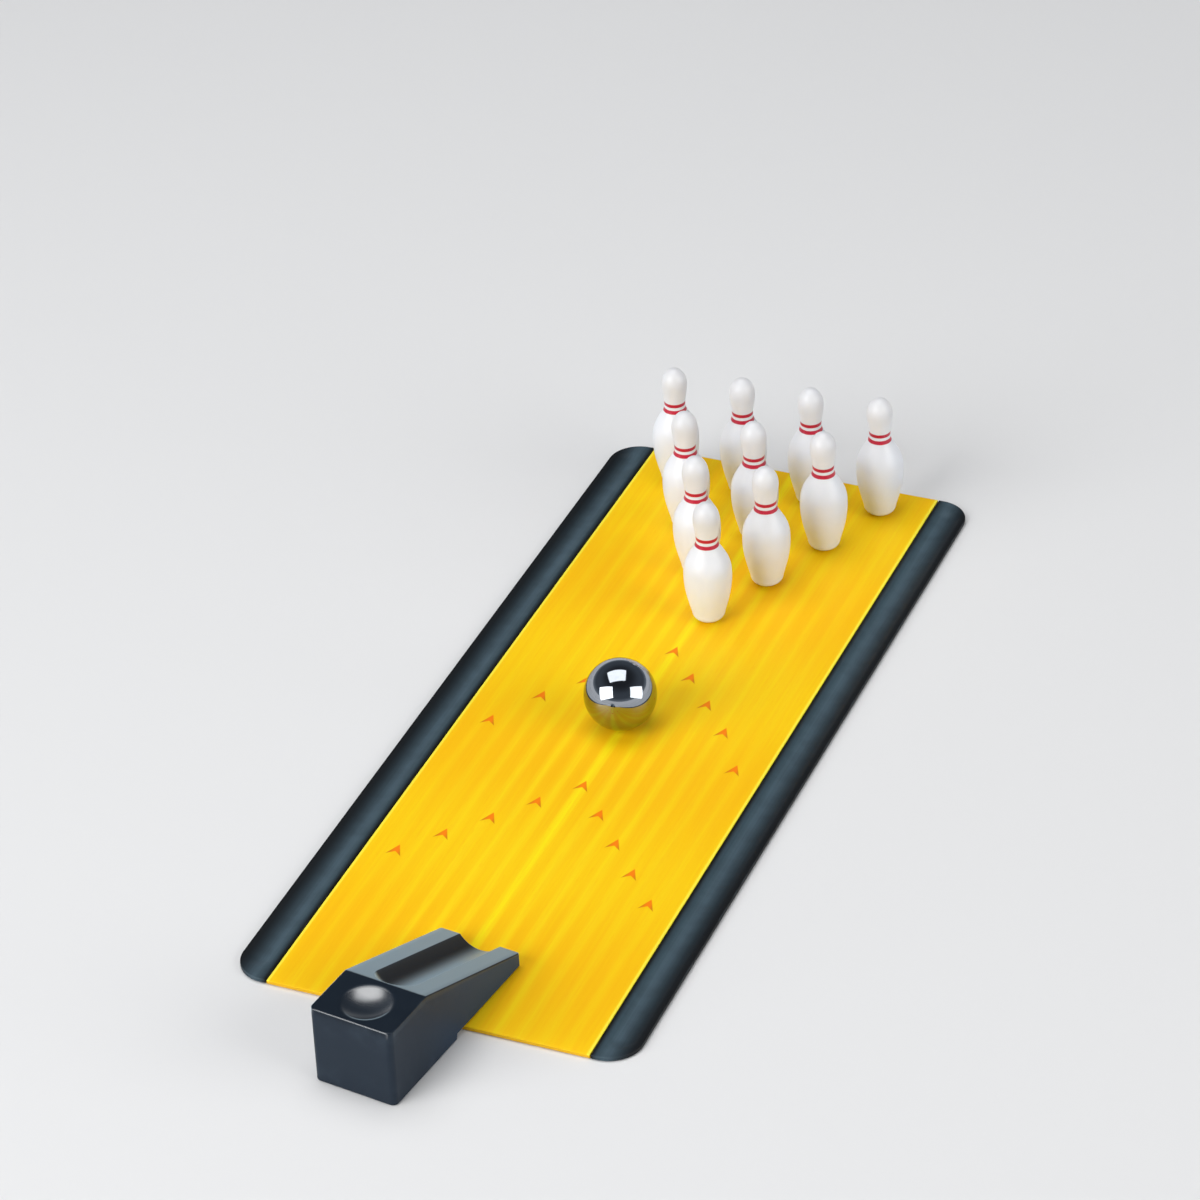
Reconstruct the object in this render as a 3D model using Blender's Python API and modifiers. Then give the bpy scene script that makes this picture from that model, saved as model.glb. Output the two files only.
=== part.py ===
"""Tabletop ten-pin bowling set: a lane with two gutters, ten pins, a steel ball and a launching ramp.

Metres, +Z up. The origin is the middle of the lane's underside, on the table; +Y runs down the lane
to the pins and +X is to the right of a player who stands behind the ramp.
"""

import math

import bmesh
import bpy
from mathutils import Matrix, Vector

# Fits and cuts
SEAT_GAP = 0.0003  # left between pieces that rest on, or lie against, each other
CUT_OVERRUN = 0.003  # how far a cutter runs past the face it opens

# Lane board and its gutters
LANE_WIDTH = 0.1100
LANE_LENGTH = 0.2674
LANE_THICKNESS = 0.0012
LANE_EDGE_ROUND = 0.0002
GUTTER_WIDTH = 0.0108  # from the lane's outer edge to the deck's edge
GUTTER_RIM = 0.0015  # flat strip on each side of the channel
GUTTER_CORNER_RADIUS = 0.0090  # outer corners, seen from above
GUTTER_BALL_GAP = 0.0003  # how much wider than the ball the channel's arc is
GUTTER_CHANNEL_SETBACK = 0.0050  # the channel's round ends stop this far short of the lane's ends
LEDGE_WIDTH = 0.0040  # the gutter's ledge under the deck's edge
LEDGE_THICKNESS = 0.0004
LEDGE_SETBACK = 0.0060  # the ledge stops this far short of the lane's ends

# Ball
BALL_DIAMETER = 0.0200
BALL_REST_X = -0.0007
BALL_REST_Y = -0.0010

# Pin, one turned moulding with two painted bands round its neck
PIN_HEIGHT = 0.0380
PIN_BASE_RADIUS = 0.0047
PIN_BASE_ROUND = 0.0026
PIN_BELLY_RADIUS = 0.0068
PIN_BELLY_HEIGHT = 0.0144
PIN_NECK_RADIUS = 0.00305
PIN_NECK_HEIGHT = 0.0262
PIN_HEAD_RADIUS = 0.00375
PIN_HEAD_HEIGHT = 0.0329
PIN_BAND_WIDTH = 0.0010
PIN_BAND_SPACING = 0.0020  # from the middle of one band to the middle of the other
PIN_UPPER_BAND_HEIGHT = 0.0270
SHOULDER_POWER_SHARE = 1.44  # above 1 it keeps the belly full further up the shoulder

# Rack, four rows that point at the player
RACK_ROWS = 4
RACK_CENTRE_ROW = 2  # the rack turns about the middle of this row, counted from 0 at the head pin
PIN_PITCH = 0.0206  # between neighbours in a row
PIN_ROW_PITCH = 0.0219
RACK_CENTRE_X = 0.0007
RACK_FAR_MARGIN = 0.0348  # from the middle of the rack to the lane's far edge
RACK_TURN = math.radians(3.2)

# Ramp, a hollow moulding that stands on the table and overlaps the lane's near end
RAMP_WIDTH = 0.0234
RAMP_LENGTH = 0.0604
RAMP_HEIGHT = 0.0226  # from the table to the level deck
RAMP_LIP_HEIGHT = 0.0042  # from the lane to the top of the front lip
RAMP_DECK_LENGTH = 0.0167
RAMP_WALL = 0.0018
RAMP_EDGE_ROUND = 0.0006
RAMP_HOLLOW_LEAST_HEIGHT = 0.0030  # the hollow ends where it would be lower than this
SEAT_RIM_RADIUS = 0.0068  # the ball's shallow seat in the level deck
SEAT_BALL_GAP = 0.0040  # how much larger than the ball the seat's sphere is, so that the ball rolls out
CHANNEL_WIDTH = 0.0118
CHANNEL_DEPTH = 0.0030  # square to the slope
CHANNEL_LAND = 0.0005  # from the crest to the channel's rounded end
RAMP_PIVOT_X = -0.0040
RAMP_PIVOT_SETBACK = 0.0233  # from the lane's near edge back to the seat's axis
RAMP_TURN = math.radians(-7.5)
RAMP_LARGEST_HEADING = math.radians(14.0)  # either way from the lane's direction

# Facets
TURNED_STEPS = 24
CUTTER_STEPS = 48
GUTTER_CUTTER_STEPS = 96
CORNER_STEPS = 8
DOME_STEPS = 4
BASE_ROUND_STEPS = 3
BALL_RINGS = 18
SMOOTH_ANGLE = math.radians(35.0)
ROUNDED_EDGE_ANGLE = math.radians(30.0)
FLAT_ANGLE = math.radians(1.0)
WELD_DISTANCE = 0.00001

# Worked out from the sizes above
DECK_HALF_WIDTH = LANE_WIDTH / 2 - GUTTER_WIDTH
LANE_HALF_LENGTH = LANE_LENGTH / 2
BALL_RADIUS = BALL_DIAMETER / 2
REST_HEIGHT = LANE_THICKNESS + SEAT_GAP
SLOPE_RUN = RAMP_LENGTH - RAMP_DECK_LENGTH
SLOPE_DROP = RAMP_HEIGHT - LANE_THICKNESS - RAMP_LIP_HEIGHT
SLOPE_ANGLE = math.atan2(SLOPE_DROP, SLOPE_RUN)
PIVOT_TO_BACK = RAMP_DECK_LENGTH / 2
PIVOT_TO_CREST = RAMP_DECK_LENGTH - PIVOT_TO_BACK

COLOURS = {
    "lane_yellow": ((0.93, 0.60, 0.03), 0.38, 0.0),
    "gutter_slate": ((0.045, 0.070, 0.095), 0.40, 0.0),
    "pin_white": ((0.86, 0.86, 0.85), 0.32, 0.0),
    "band_red": ((0.60, 0.015, 0.035), 0.35, 0.0),
    "ball_steel": ((0.62, 0.62, 0.63), 0.10, 1.0),
    "ramp_black": ((0.030, 0.038, 0.050), 0.30, 0.0),
}


def clear_scene():
    for obj in list(bpy.data.objects):
        bpy.data.objects.remove(obj, do_unlink=True)


def new_collection(name):
    collection = bpy.data.collections.new(name)
    bpy.context.scene.collection.children.link(collection)
    return collection


def make_material(name):
    """A Principled material with the colour, roughness and metallic value listed under its name."""
    colour, roughness, metallic = COLOURS[name]
    material = bpy.data.materials.new(name)
    material.use_nodes = True
    material.diffuse_color = (*colour, 1.0)
    shader = material.node_tree.nodes["Principled BSDF"]
    shader.inputs["Base Color"].default_value = (*colour, 1.0)
    shader.inputs["Roughness"].default_value = roughness
    shader.inputs["Metallic"].default_value = metallic
    return material


def place(name, mesh, collection):
    obj = bpy.data.objects.new(name, mesh)
    collection.objects.link(obj)
    return obj


def dress(obj, *materials):
    obj.data.materials.clear()
    for material in materials:
        obj.data.materials.append(material)


def smooth(mesh):
    """Shades a mesh smooth, with a crease wherever two faces meet sharply."""
    mesh.shade_smooth()
    mesh.set_sharp_from_angle(angle=SMOOTH_ANGLE)


def evaluated_mesh(obj):
    """The mesh that an object's modifiers or curve make, with the object itself removed."""
    graph = bpy.context.evaluated_depsgraph_get()
    mesh = bpy.data.meshes.new_from_object(obj.evaluated_get(graph))
    bpy.data.objects.remove(obj, do_unlink=True)
    return mesh


def mesh_from(name, shape):
    mesh = bpy.data.meshes.new(name)
    shape.to_mesh(mesh)
    shape.free()
    return mesh


def box_mesh(name, low, high):
    """A box between two opposite corners."""
    size = [top - bottom for bottom, top in zip(low, high)]
    middle = [(top + bottom) / 2 for bottom, top in zip(low, high)]
    shape = bmesh.new()
    bmesh.ops.create_cube(shape, size=1.0)
    bmesh.ops.scale(shape, vec=size, verts=shape.verts)
    bmesh.ops.translate(shape, vec=middle, verts=shape.verts)
    return mesh_from(name, shape)


def sphere_mesh(name, radius, centre):
    shape = bmesh.new()
    bmesh.ops.create_uvsphere(shape, u_segments=CUTTER_STEPS, v_segments=BALL_RINGS, radius=radius)
    bmesh.ops.translate(shape, vec=centre, verts=shape.verts)
    return mesh_from(name, shape)


def arc(centre, radius, start, end, steps):
    """Points on a circle from one angle to another, both ends included."""
    angles = [start + (end - start) * step / steps for step in range(steps + 1)]
    return [(centre[0] + radius * math.cos(a), centre[1] + radius * math.sin(a)) for a in angles]


def plate_mesh(name, outline, thickness):
    """A flat outline given thickness, half to each side of its plane, with its flat faces left whole."""
    curve = bpy.data.curves.new(name, "CURVE")
    curve.dimensions = "2D"
    curve.fill_mode = "BOTH"
    curve.extrude = thickness / 2
    spline = curve.splines.new("POLY")
    spline.points.add(len(outline) - 1)
    for point, (across, along) in zip(spline.points, outline):
        point.co = (across, along, 0.0, 1.0)
    spline.use_cyclic_u = True
    mesh = evaluated_mesh(place(name, curve, bpy.context.scene.collection))
    shape = bmesh.new()
    shape.from_mesh(mesh)
    bpy.data.meshes.remove(mesh)
    bmesh.ops.remove_doubles(shape, verts=shape.verts, dist=WELD_DISTANCE)
    bmesh.ops.dissolve_limit(shape, angle_limit=FLAT_ANGLE, verts=shape.verts, edges=shape.edges)
    bmesh.ops.recalc_face_normals(shape, faces=shape.faces)
    return mesh_from(name, shape)


def turned_mesh(name, profile, steps):
    """A profile of (radius, height) points, from top to bottom, turned about the Z axis."""
    line = bpy.data.meshes.new(name)
    edges = [(index, index + 1) for index in range(len(profile) - 1)]
    line.from_pydata([(radius, 0.0, height) for radius, height in profile], edges, [])
    lathe = place(name, line, bpy.context.scene.collection)
    screw = lathe.modifiers.new("turn", "SCREW")
    screw.steps = steps
    screw.render_steps = steps
    screw.use_merge_vertices = True
    screw.merge_threshold = WELD_DISTANCE
    mesh = evaluated_mesh(lathe)
    bpy.data.meshes.remove(line)
    return mesh


def round_ended_bar_mesh(name, radius, reach, steps):
    """A bar along the Y axis that ends in half spheres, whose middles lie at the given reach either way."""
    quarter = steps // 4
    angles = [math.pi / 2 * step / quarter for step in range(quarter + 1)]
    end = [(radius * math.sin(angle), reach + radius * math.cos(angle)) for angle in angles]
    mesh = turned_mesh(name, end + [(across, -along) for across, along in reversed(end)], steps)
    mesh.transform(Matrix.Rotation(math.pi / 2, 4, "X"))
    return mesh


def boolean(obj, other, operation):
    modifier = obj.modifiers.new(f"{operation.lower()}_{other.name}", "BOOLEAN")
    modifier.operation = operation
    modifier.solver = "EXACT"
    modifier.object = other


def cutter(name, mesh, collection):
    """A helper that shapes another piece and isn't a piece itself."""
    obj = place(name, mesh, collection)
    obj.hide_render = True
    obj.display_type = "WIRE"
    return obj


def finished(obj):
    """The object with its modifiers worked into its mesh and its round faces shaded smooth."""
    name = obj.name
    collection = obj.users_collection[0]
    matrix = obj.matrix_world.copy()
    materials = list(obj.data.materials)
    mesh = evaluated_mesh(obj)
    mesh.name = name
    done = place(name, mesh, collection)
    done.matrix_world = matrix
    dress(done, *materials)
    smooth(mesh)
    return done


def build_deck(parts, cutters, material):
    """The lane's playing surface: a board with a stopped rebate along each edge for the gutters' ledges."""
    mesh = box_mesh(
        "lane_deck",
        (-DECK_HALF_WIDTH, -LANE_HALF_LENGTH, 0.0),
        (DECK_HALF_WIDTH, LANE_HALF_LENGTH, LANE_THICKNESS),
    )
    deck = place("lane_deck", mesh, parts)
    dress(deck, material)
    rounding = deck.modifiers.new("edges", "BEVEL")
    rounding.width = LANE_EDGE_ROUND
    rounding.segments = 1
    inner = DECK_HALF_WIDTH - LEDGE_WIDTH - SEAT_GAP
    outer = DECK_HALF_WIDTH + CUT_OVERRUN
    reach = LANE_HALF_LENGTH - LEDGE_SETBACK + SEAT_GAP
    ceiling = LEDGE_THICKNESS + SEAT_GAP
    for side, low, high in (("left", -outer, -inner), ("right", inner, outer)):
        rebate = box_mesh(f"rebate_{side}", (low, -reach, -CUT_OVERRUN), (high, reach, ceiling))
        boolean(deck, cutter(f"rebate_{side}", rebate, cutters), "DIFFERENCE")
    return finished(deck)


def build_gutter(name, side, parts, cutters, material):
    """One gutter: a strip with rounded outer corners, a ledge under the deck and a shallow channel in its top."""
    inner = DECK_HALF_WIDTH + SEAT_GAP
    outer = LANE_WIDTH / 2
    corner_x = outer - GUTTER_CORNER_RADIUS
    corner_y = LANE_HALF_LENGTH - GUTTER_CORNER_RADIUS
    outline = [(inner, -LANE_HALF_LENGTH)]
    outline += arc((corner_x, -corner_y), GUTTER_CORNER_RADIUS, -math.pi / 2, 0.0, CORNER_STEPS)
    outline += arc((corner_x, corner_y), GUTTER_CORNER_RADIUS, 0.0, math.pi / 2, CORNER_STEPS)
    outline += [(inner, LANE_HALF_LENGTH)]
    mesh = plate_mesh(name, [(side * across, along) for across, along in outline], LANE_THICKNESS)
    mesh.transform(Matrix.Translation((0.0, 0.0, LANE_THICKNESS / 2)))
    gutter = place(name, mesh, parts)
    dress(gutter, material)

    reach = LANE_HALF_LENGTH - LEDGE_SETBACK
    near = DECK_HALF_WIDTH - LEDGE_WIDTH
    far = inner + GUTTER_RIM
    low, high = sorted((side * near, side * far))
    ledge = box_mesh(f"{name}_ledge", (low, -reach, 0.0), (high, reach, LEDGE_THICKNESS))
    boolean(gutter, cutter(f"{name}_ledge", ledge, cutters), "UNION")

    channel_radius = BALL_RADIUS + GUTTER_BALL_GAP
    half_chord = (outer - inner) / 2 - GUTTER_RIM
    lift = math.sqrt(channel_radius**2 - half_chord**2)
    end_middle = LANE_HALF_LENGTH - GUTTER_CHANNEL_SETBACK - half_chord
    bar = round_ended_bar_mesh(f"{name}_channel", channel_radius, end_middle, GUTTER_CUTTER_STEPS)
    bar.transform(Matrix.Translation((side * (inner + outer) / 2, 0.0, LANE_THICKNESS + lift)))
    boolean(gutter, cutter(f"{name}_channel", bar, cutters), "DIFFERENCE")
    return finished(gutter)


def pin_radius(height):
    """The pin's radius at a height between its rounded foot and its head's widest point."""
    if height <= PIN_BELLY_HEIGHT:
        rise = (height - PIN_BASE_ROUND) / (PIN_BELLY_HEIGHT - PIN_BASE_ROUND)
        return PIN_BASE_RADIUS + (PIN_BELLY_RADIUS - PIN_BASE_RADIUS) * math.sin(rise * math.pi / 2)
    if height <= PIN_NECK_HEIGHT:
        rise = (height - PIN_BELLY_HEIGHT) / (PIN_NECK_HEIGHT - PIN_BELLY_HEIGHT)
        fall = (1 + math.cos(math.pi * rise**SHOULDER_POWER_SHARE)) / 2
        return PIN_NECK_RADIUS + (PIN_BELLY_RADIUS - PIN_NECK_RADIUS) * fall
    rise = (height - PIN_NECK_HEIGHT) / (PIN_HEAD_HEIGHT - PIN_NECK_HEIGHT)
    return PIN_NECK_RADIUS + (PIN_HEAD_RADIUS - PIN_NECK_RADIUS) * (1 - math.cos(math.pi * rise)) / 2


def band_edges():
    """The lower and upper edge of each painted band, the upper band first."""
    middles = (PIN_UPPER_BAND_HEIGHT, PIN_UPPER_BAND_HEIGHT - PIN_BAND_SPACING)
    return [(middle - PIN_BAND_WIDTH / 2, middle + PIN_BAND_WIDTH / 2) for middle in middles]


def pin_profile():
    """The pin's outline as (radius, height), from the top of its head to the middle of its foot."""
    dome = PIN_HEIGHT - PIN_HEAD_HEIGHT
    profile = []
    for step in range(DOME_STEPS):
        angle = math.pi / 2 * step / DOME_STEPS
        profile.append((PIN_HEAD_RADIUS * math.sin(angle), PIN_HEAD_HEIGHT + dome * math.cos(angle)))
    (upper_low, upper_high), (lower_low, lower_high) = band_edges()
    stations = (PIN_HEAD_HEIGHT, upper_high, upper_low, lower_high, lower_low, PIN_BELLY_HEIGHT, PIN_BASE_ROUND)
    divisions = (3, 1, 1, 1, 4, 4)
    for start, end, count in zip(stations, stations[1:], divisions):
        for step in range(count):
            height = start + (end - start) * step / count
            profile.append((pin_radius(height), height))
    for step in range(BASE_ROUND_STEPS + 1):
        angle = math.pi / 2 * step / BASE_ROUND_STEPS
        inset = PIN_BASE_ROUND * (1 - math.cos(angle))
        profile.append((PIN_BASE_RADIUS - inset, PIN_BASE_ROUND * (1 - math.sin(angle))))
    profile.append((0.0, 0.0))
    return profile


def build_pin_mesh(white, red):
    """The mesh that all ten pins share, with red on the faces of the two bands."""
    mesh = turned_mesh("pin", pin_profile(), TURNED_STEPS)
    mesh.materials.append(white)
    mesh.materials.append(red)
    for face in mesh.polygons:
        if any(low < face.center.z < high for low, high in band_edges()):
            face.material_index = 1
    smooth(mesh)
    return mesh


def build_pins(parts, white, red):
    """Ten pins, numbered from the head pin row by row, each carried by an empty on the edge it tips over."""
    mesh = build_pin_mesh(white, red)
    centre = Vector((RACK_CENTRE_X, LANE_HALF_LENGTH - RACK_FAR_MARGIN, REST_HEIGHT))
    turn = Matrix.Rotation(RACK_TURN, 4, "Z")
    number = 0
    for row in range(RACK_ROWS):
        for column in range(row + 1):
            number += 1
            across = (column - row / 2) * PIN_PITCH
            along = (row - RACK_CENTRE_ROW) * PIN_ROW_PITCH
            tip_axis = bpy.data.objects.new(f"pin_{number}_tip_axis", None)
            tip_axis.empty_display_size = PIN_BASE_RADIUS
            parts.objects.link(tip_axis)
            tip_axis.location = centre + turn @ Vector((across, along + PIN_BASE_RADIUS, 0.0))
            tip_axis.rotation_euler = (0.0, 0.0, RACK_TURN)
            pin = place(f"pin_{number}", mesh, parts)
            pin.parent = tip_axis
            pin.location = (0.0, -PIN_BASE_RADIUS, 0.0)


def build_ball(parts, material):
    """The steel ball, with its origin at its centre, which moves along the lane."""
    ball = place("ball", sphere_mesh("ball", BALL_RADIUS, (0.0, 0.0, 0.0)), parts)
    ball.location = (BALL_REST_X, BALL_REST_Y, REST_HEIGHT + BALL_RADIUS)
    dress(ball, material)
    smooth(ball.data)


def side_profile_mesh(name, outline, width):
    """A side outline of (along, up) points, given a width across the ramp's middle plane."""
    mesh = plate_mesh(name, outline, width)
    upright = Matrix(((0, 0, 1, 0), (1, 0, 0, 0), (0, 1, 0, 0), (0, 0, 0, 1)))
    mesh.transform(upright)
    return mesh


def slope_height(along):
    """The height of the ramp's slope, level deck included, at a distance in front of the seat's axis."""
    return RAMP_HEIGHT - max(0.0, along - PIVOT_TO_CREST) * math.tan(SLOPE_ANGLE)


def ramp_step_reach():
    """How far in front of the pivot the heel ends, so that its corner clears the lane at the largest heading."""
    free = RAMP_PIVOT_SETBACK - SEAT_GAP - RAMP_WIDTH / 2 * math.sin(RAMP_LARGEST_HEADING)
    return free / math.cos(RAMP_LARGEST_HEADING)


def ramp_outline():
    """The ramp from its side: heel on the table, level deck, slope, lip, and the step over the lane's edge."""
    lip = PIVOT_TO_CREST + SLOPE_RUN
    step = ramp_step_reach()
    return [
        (-PIVOT_TO_BACK, 0.0),
        (step, 0.0),
        (step, REST_HEIGHT),
        (lip, REST_HEIGHT),
        (lip, slope_height(lip)),
        (PIVOT_TO_CREST, RAMP_HEIGHT),
        (-PIVOT_TO_BACK, RAMP_HEIGHT),
    ]


def hollow_outline(seat_depth):
    """The space under the ramp from its side: one wall in from the back, the seat and the channel."""
    ceiling = RAMP_HEIGHT - seat_depth - RAMP_WALL
    slope_cover = (CHANNEL_DEPTH + RAMP_WALL) / math.cos(SLOPE_ANGLE)
    slope_start = PIVOT_TO_CREST + (RAMP_HEIGHT - slope_cover - ceiling) / math.tan(SLOPE_ANGLE)
    lowest = REST_HEIGHT + RAMP_HOLLOW_LEAST_HEIGHT
    slope_end = slope_start + (ceiling - lowest) / math.tan(SLOPE_ANGLE)
    back = RAMP_WALL - PIVOT_TO_BACK
    return [
        (back, -CUT_OVERRUN),
        (slope_end, -CUT_OVERRUN),
        (slope_end, lowest),
        (slope_start, ceiling),
        (back, ceiling),
    ]


def channel_mesh():
    """A bar with one round end that cuts the channel: its axis runs down the slope, above its surface."""
    radius = ((CHANNEL_WIDTH / 2) ** 2 + CHANNEL_DEPTH**2) / (2 * CHANNEL_DEPTH)
    length = SLOPE_RUN / math.cos(SLOPE_ANGLE)
    profile = [(0.0, length), (radius, length)]
    quarter = CUTTER_STEPS // 4
    profile += [
        (radius * math.cos(math.pi / 2 * step / quarter), -radius * math.sin(math.pi / 2 * step / quarter))
        for step in range(quarter)
    ]
    profile.append((0.0, -radius))
    mesh = turned_mesh("ramp_channel", profile, CUTTER_STEPS)
    start = CHANNEL_LAND + CHANNEL_WIDTH / 2
    lift = radius - CHANNEL_DEPTH
    crest = Matrix.Translation((0.0, PIVOT_TO_CREST, RAMP_HEIGHT))
    tilt = Matrix.Rotation(-SLOPE_ANGLE, 4, "X")
    lay_down = Matrix.Rotation(-math.pi / 2, 4, "X")
    mesh.transform(crest @ tilt @ Matrix.Translation((0.0, start, lift)) @ lay_down)
    return mesh


def build_ramp(parts, cutters, material):
    """The launching ramp, with its origin on the axis of the ball's seat, about which it turns to aim."""
    ramp = place("ramp", side_profile_mesh("ramp", ramp_outline(), RAMP_WIDTH), parts)
    dress(ramp, material)
    rounding = ramp.modifiers.new("edges", "BEVEL")
    rounding.width = RAMP_EDGE_ROUND
    rounding.segments = 2
    rounding.limit_method = "ANGLE"
    rounding.angle_limit = ROUNDED_EDGE_ANGLE

    seat_radius = BALL_RADIUS + SEAT_BALL_GAP
    seat_lift = math.sqrt(seat_radius**2 - SEAT_RIM_RADIUS**2)
    seat_depth = seat_radius - seat_lift
    hollow = side_profile_mesh("ramp_hollow", hollow_outline(seat_depth), RAMP_WIDTH - 2 * RAMP_WALL)
    boolean(ramp, cutter("ramp_hollow", hollow, cutters), "DIFFERENCE")
    seat = sphere_mesh("ramp_seat", seat_radius, (0.0, 0.0, RAMP_HEIGHT + seat_lift))
    boolean(ramp, cutter("ramp_seat", seat, cutters), "DIFFERENCE")
    boolean(ramp, cutter("ramp_channel", channel_mesh(), cutters), "DIFFERENCE")
    ramp = finished(ramp)
    ramp.location = (RAMP_PIVOT_X, -LANE_HALF_LENGTH - RAMP_PIVOT_SETBACK, 0.0)
    ramp.rotation_euler = (0.0, 0.0, RAMP_TURN)


def main():
    clear_scene()
    parts = new_collection("bowling_set")
    cutters = new_collection("bowling_set_cutters")
    materials = {name: make_material(name) for name in COLOURS}
    build_deck(parts, cutters, materials["lane_yellow"])
    build_gutter("gutter_left", -1, parts, cutters, materials["gutter_slate"])
    build_gutter("gutter_right", 1, parts, cutters, materials["gutter_slate"])
    build_pins(parts, materials["pin_white"], materials["band_red"])
    build_ball(parts, materials["ball_steel"])
    build_ramp(parts, cutters, materials["ramp_black"])


main()
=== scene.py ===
"""Looks of a tabletop ten-pin bowling set: lane board, gutters, launching ramp, steel ball and pins.

Everything is in metres, +Z up, with +Y down the lane from the ramp to the pins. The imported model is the
fixed frame; each piece here takes the place of one of its nodes and moves with that node's body.
"""

import logging
import math
from abc import ABC, abstractmethod
from dataclasses import dataclass, field
from enum import Enum
from functools import partialmethod
from typing import NamedTuple

import bpy
import numpy as np
from mathutils import Matrix, Vector


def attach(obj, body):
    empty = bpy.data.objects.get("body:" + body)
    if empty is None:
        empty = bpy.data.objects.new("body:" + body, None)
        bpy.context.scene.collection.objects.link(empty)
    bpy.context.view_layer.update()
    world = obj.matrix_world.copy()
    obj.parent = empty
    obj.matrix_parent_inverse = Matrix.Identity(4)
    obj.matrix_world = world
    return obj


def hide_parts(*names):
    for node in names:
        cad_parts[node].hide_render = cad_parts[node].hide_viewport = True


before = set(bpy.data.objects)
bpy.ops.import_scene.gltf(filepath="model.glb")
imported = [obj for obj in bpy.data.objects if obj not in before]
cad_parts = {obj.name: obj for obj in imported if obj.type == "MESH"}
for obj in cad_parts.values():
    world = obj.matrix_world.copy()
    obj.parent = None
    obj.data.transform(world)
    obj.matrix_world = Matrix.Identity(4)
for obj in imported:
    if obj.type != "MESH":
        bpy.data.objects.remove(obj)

LOG = logging.getLogger("bowling_set")
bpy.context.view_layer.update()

Array = np.ndarray
Colour = tuple[float, float, float]
Span = tuple[float, float, float, float]  # a range, and what its two ends are carried to

MM = 0.001
QUARTER_TURN = math.pi / 2
SMOOTH_ANGLE = math.radians(38.0)
EDGE_NAME = "edge"  # 1 on an outer edge, 0 past its rounding
WALL_NAME = "wall"  # 1 on upright walls and the underside, 0 on the upper face
POLISH_NAME = "polish"  # 1 where the surface is smoothest
# The ramp's finish paints shade down in the channel by this mark
SUNK_NAME = "sunk"  # 1 down in a channel
WALL_SHARES = (0.08, 0.35, 0.65, 0.92)  # where a wall between two sheets is divided
WALL_VALUES = {
    EDGE_NAME: (0.7, 0.0, 0.0, 0.7),
    WALL_NAME: (1.0, 1.0, 1.0, 1.0),
    POLISH_NAME: (0.0, 0.0, 0.0, 0.0),
    SUNK_NAME: (0.0, 0.0, 0.0, 0.0),
}
TURNING_MAP = "turning"


def shown(*display: int) -> Colour:
    """A scene-linear colour from its display red, green and blue, each from 0 to 255."""
    share = np.array(display) / 255.0
    return tuple(np.where(share <= 0.04045, share / 12.92, ((share + 0.055) / 1.055) ** 2.4).tolist())


# Surfaces


def edge_drop(inset: Array, radius: float) -> Array:
    """How far a rounded edge lies below its face: its radius less the height of a quarter circle."""
    short = np.clip(radius - inset, 0.0, radius)
    return radius - np.sqrt(np.maximum(radius**2 - short**2, 0.0))


def edge_insets(radius: float, steps: int) -> Array:
    """Distances in from an outline that divide a rounded edge into equal turns, from 0 to its radius."""
    return radius * (1.0 - np.cos(np.linspace(0.0, QUARTER_TURN, steps + 1)))


def blended_least(first: Array, second: Array, width: float | Array) -> Array:
    """The lower of two heights; where they differ by less than a width, their mix less a parabola."""
    share = np.clip(0.5 + 0.5 * (second - first) / width, 0.0, 1.0)
    return second * (1.0 - share) + first * share - width * share * (1.0 - share)


def merged_stations(groups: list[Array], least: float) -> Array:
    """Sorted stations from several lists, with any that lie closer together than a least gap left out."""
    everything = np.unique(np.concatenate(groups))
    return everything[np.concatenate([[True], np.diff(everything[:-1]) > least, [True]])]


def grid_quads(rows: int, columns: int, first: int, facing_up: bool) -> Array:
    """Quads between the points of a grid numbered row by row.

    Args:
        rows: Number of rows.
        columns: Number of points in a row.
        first: Number of the grid's first point.
        facing_up: Whether the quads turn anticlockwise seen from above, with rows along +Y.

    Returns:
        One row of four point numbers for each quad.
    """
    row, column = np.meshgrid(np.arange(rows - 1), np.arange(columns - 1), indexing="ij")
    corner = first + row * columns + column
    quads = np.stack([corner, corner + 1, corner + columns + 1, corner + columns], -1).reshape(-1, 4)
    return quads if facing_up else quads[:, ::-1]


def grid_border(rows: int, columns: int) -> Array:
    """Numbers of a grid's border points, anticlockwise seen from above, each once."""
    numbers = np.arange(rows * columns).reshape(rows, columns)
    return np.concatenate([numbers[0, :-1], numbers[:-1, -1], numbers[-1, :0:-1], numbers[:0:-1, 0]])


def ring_quads(below: Array, above: Array) -> Array:
    """Quads of the strip between two closed rings of point numbers of the same length."""
    return np.stack([below, np.roll(below, -1), np.roll(above, -1), above], -1)


def mesh_from(
    name: str, points: Array, faces: list[list[int]], marks: dict[str, Array] | None = None
) -> bpy.types.Mesh:
    """A smooth-shaded mesh with creases at sharp angles.

    Args:
        name: The mesh's name.
        points: One row of coordinates for each point.
        faces: Point numbers of each face.
        marks: A value from 0 to 1 at each point, by name, for the finishes that read it.

    Returns:
        The mesh.
    """
    mesh = bpy.data.meshes.new(name)
    mesh.from_pydata(points.tolist(), [], faces)
    for label, values in (marks or {}).items():
        attribute = mesh.attributes.new(label, "FLOAT", "POINT")
        attribute.data.foreach_set("value", values.astype(np.float32))
    mesh.validate()
    mesh.shade_smooth()
    mesh.set_sharp_from_angle(angle=SMOOTH_ANGLE)
    mesh.update()
    return mesh


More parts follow.
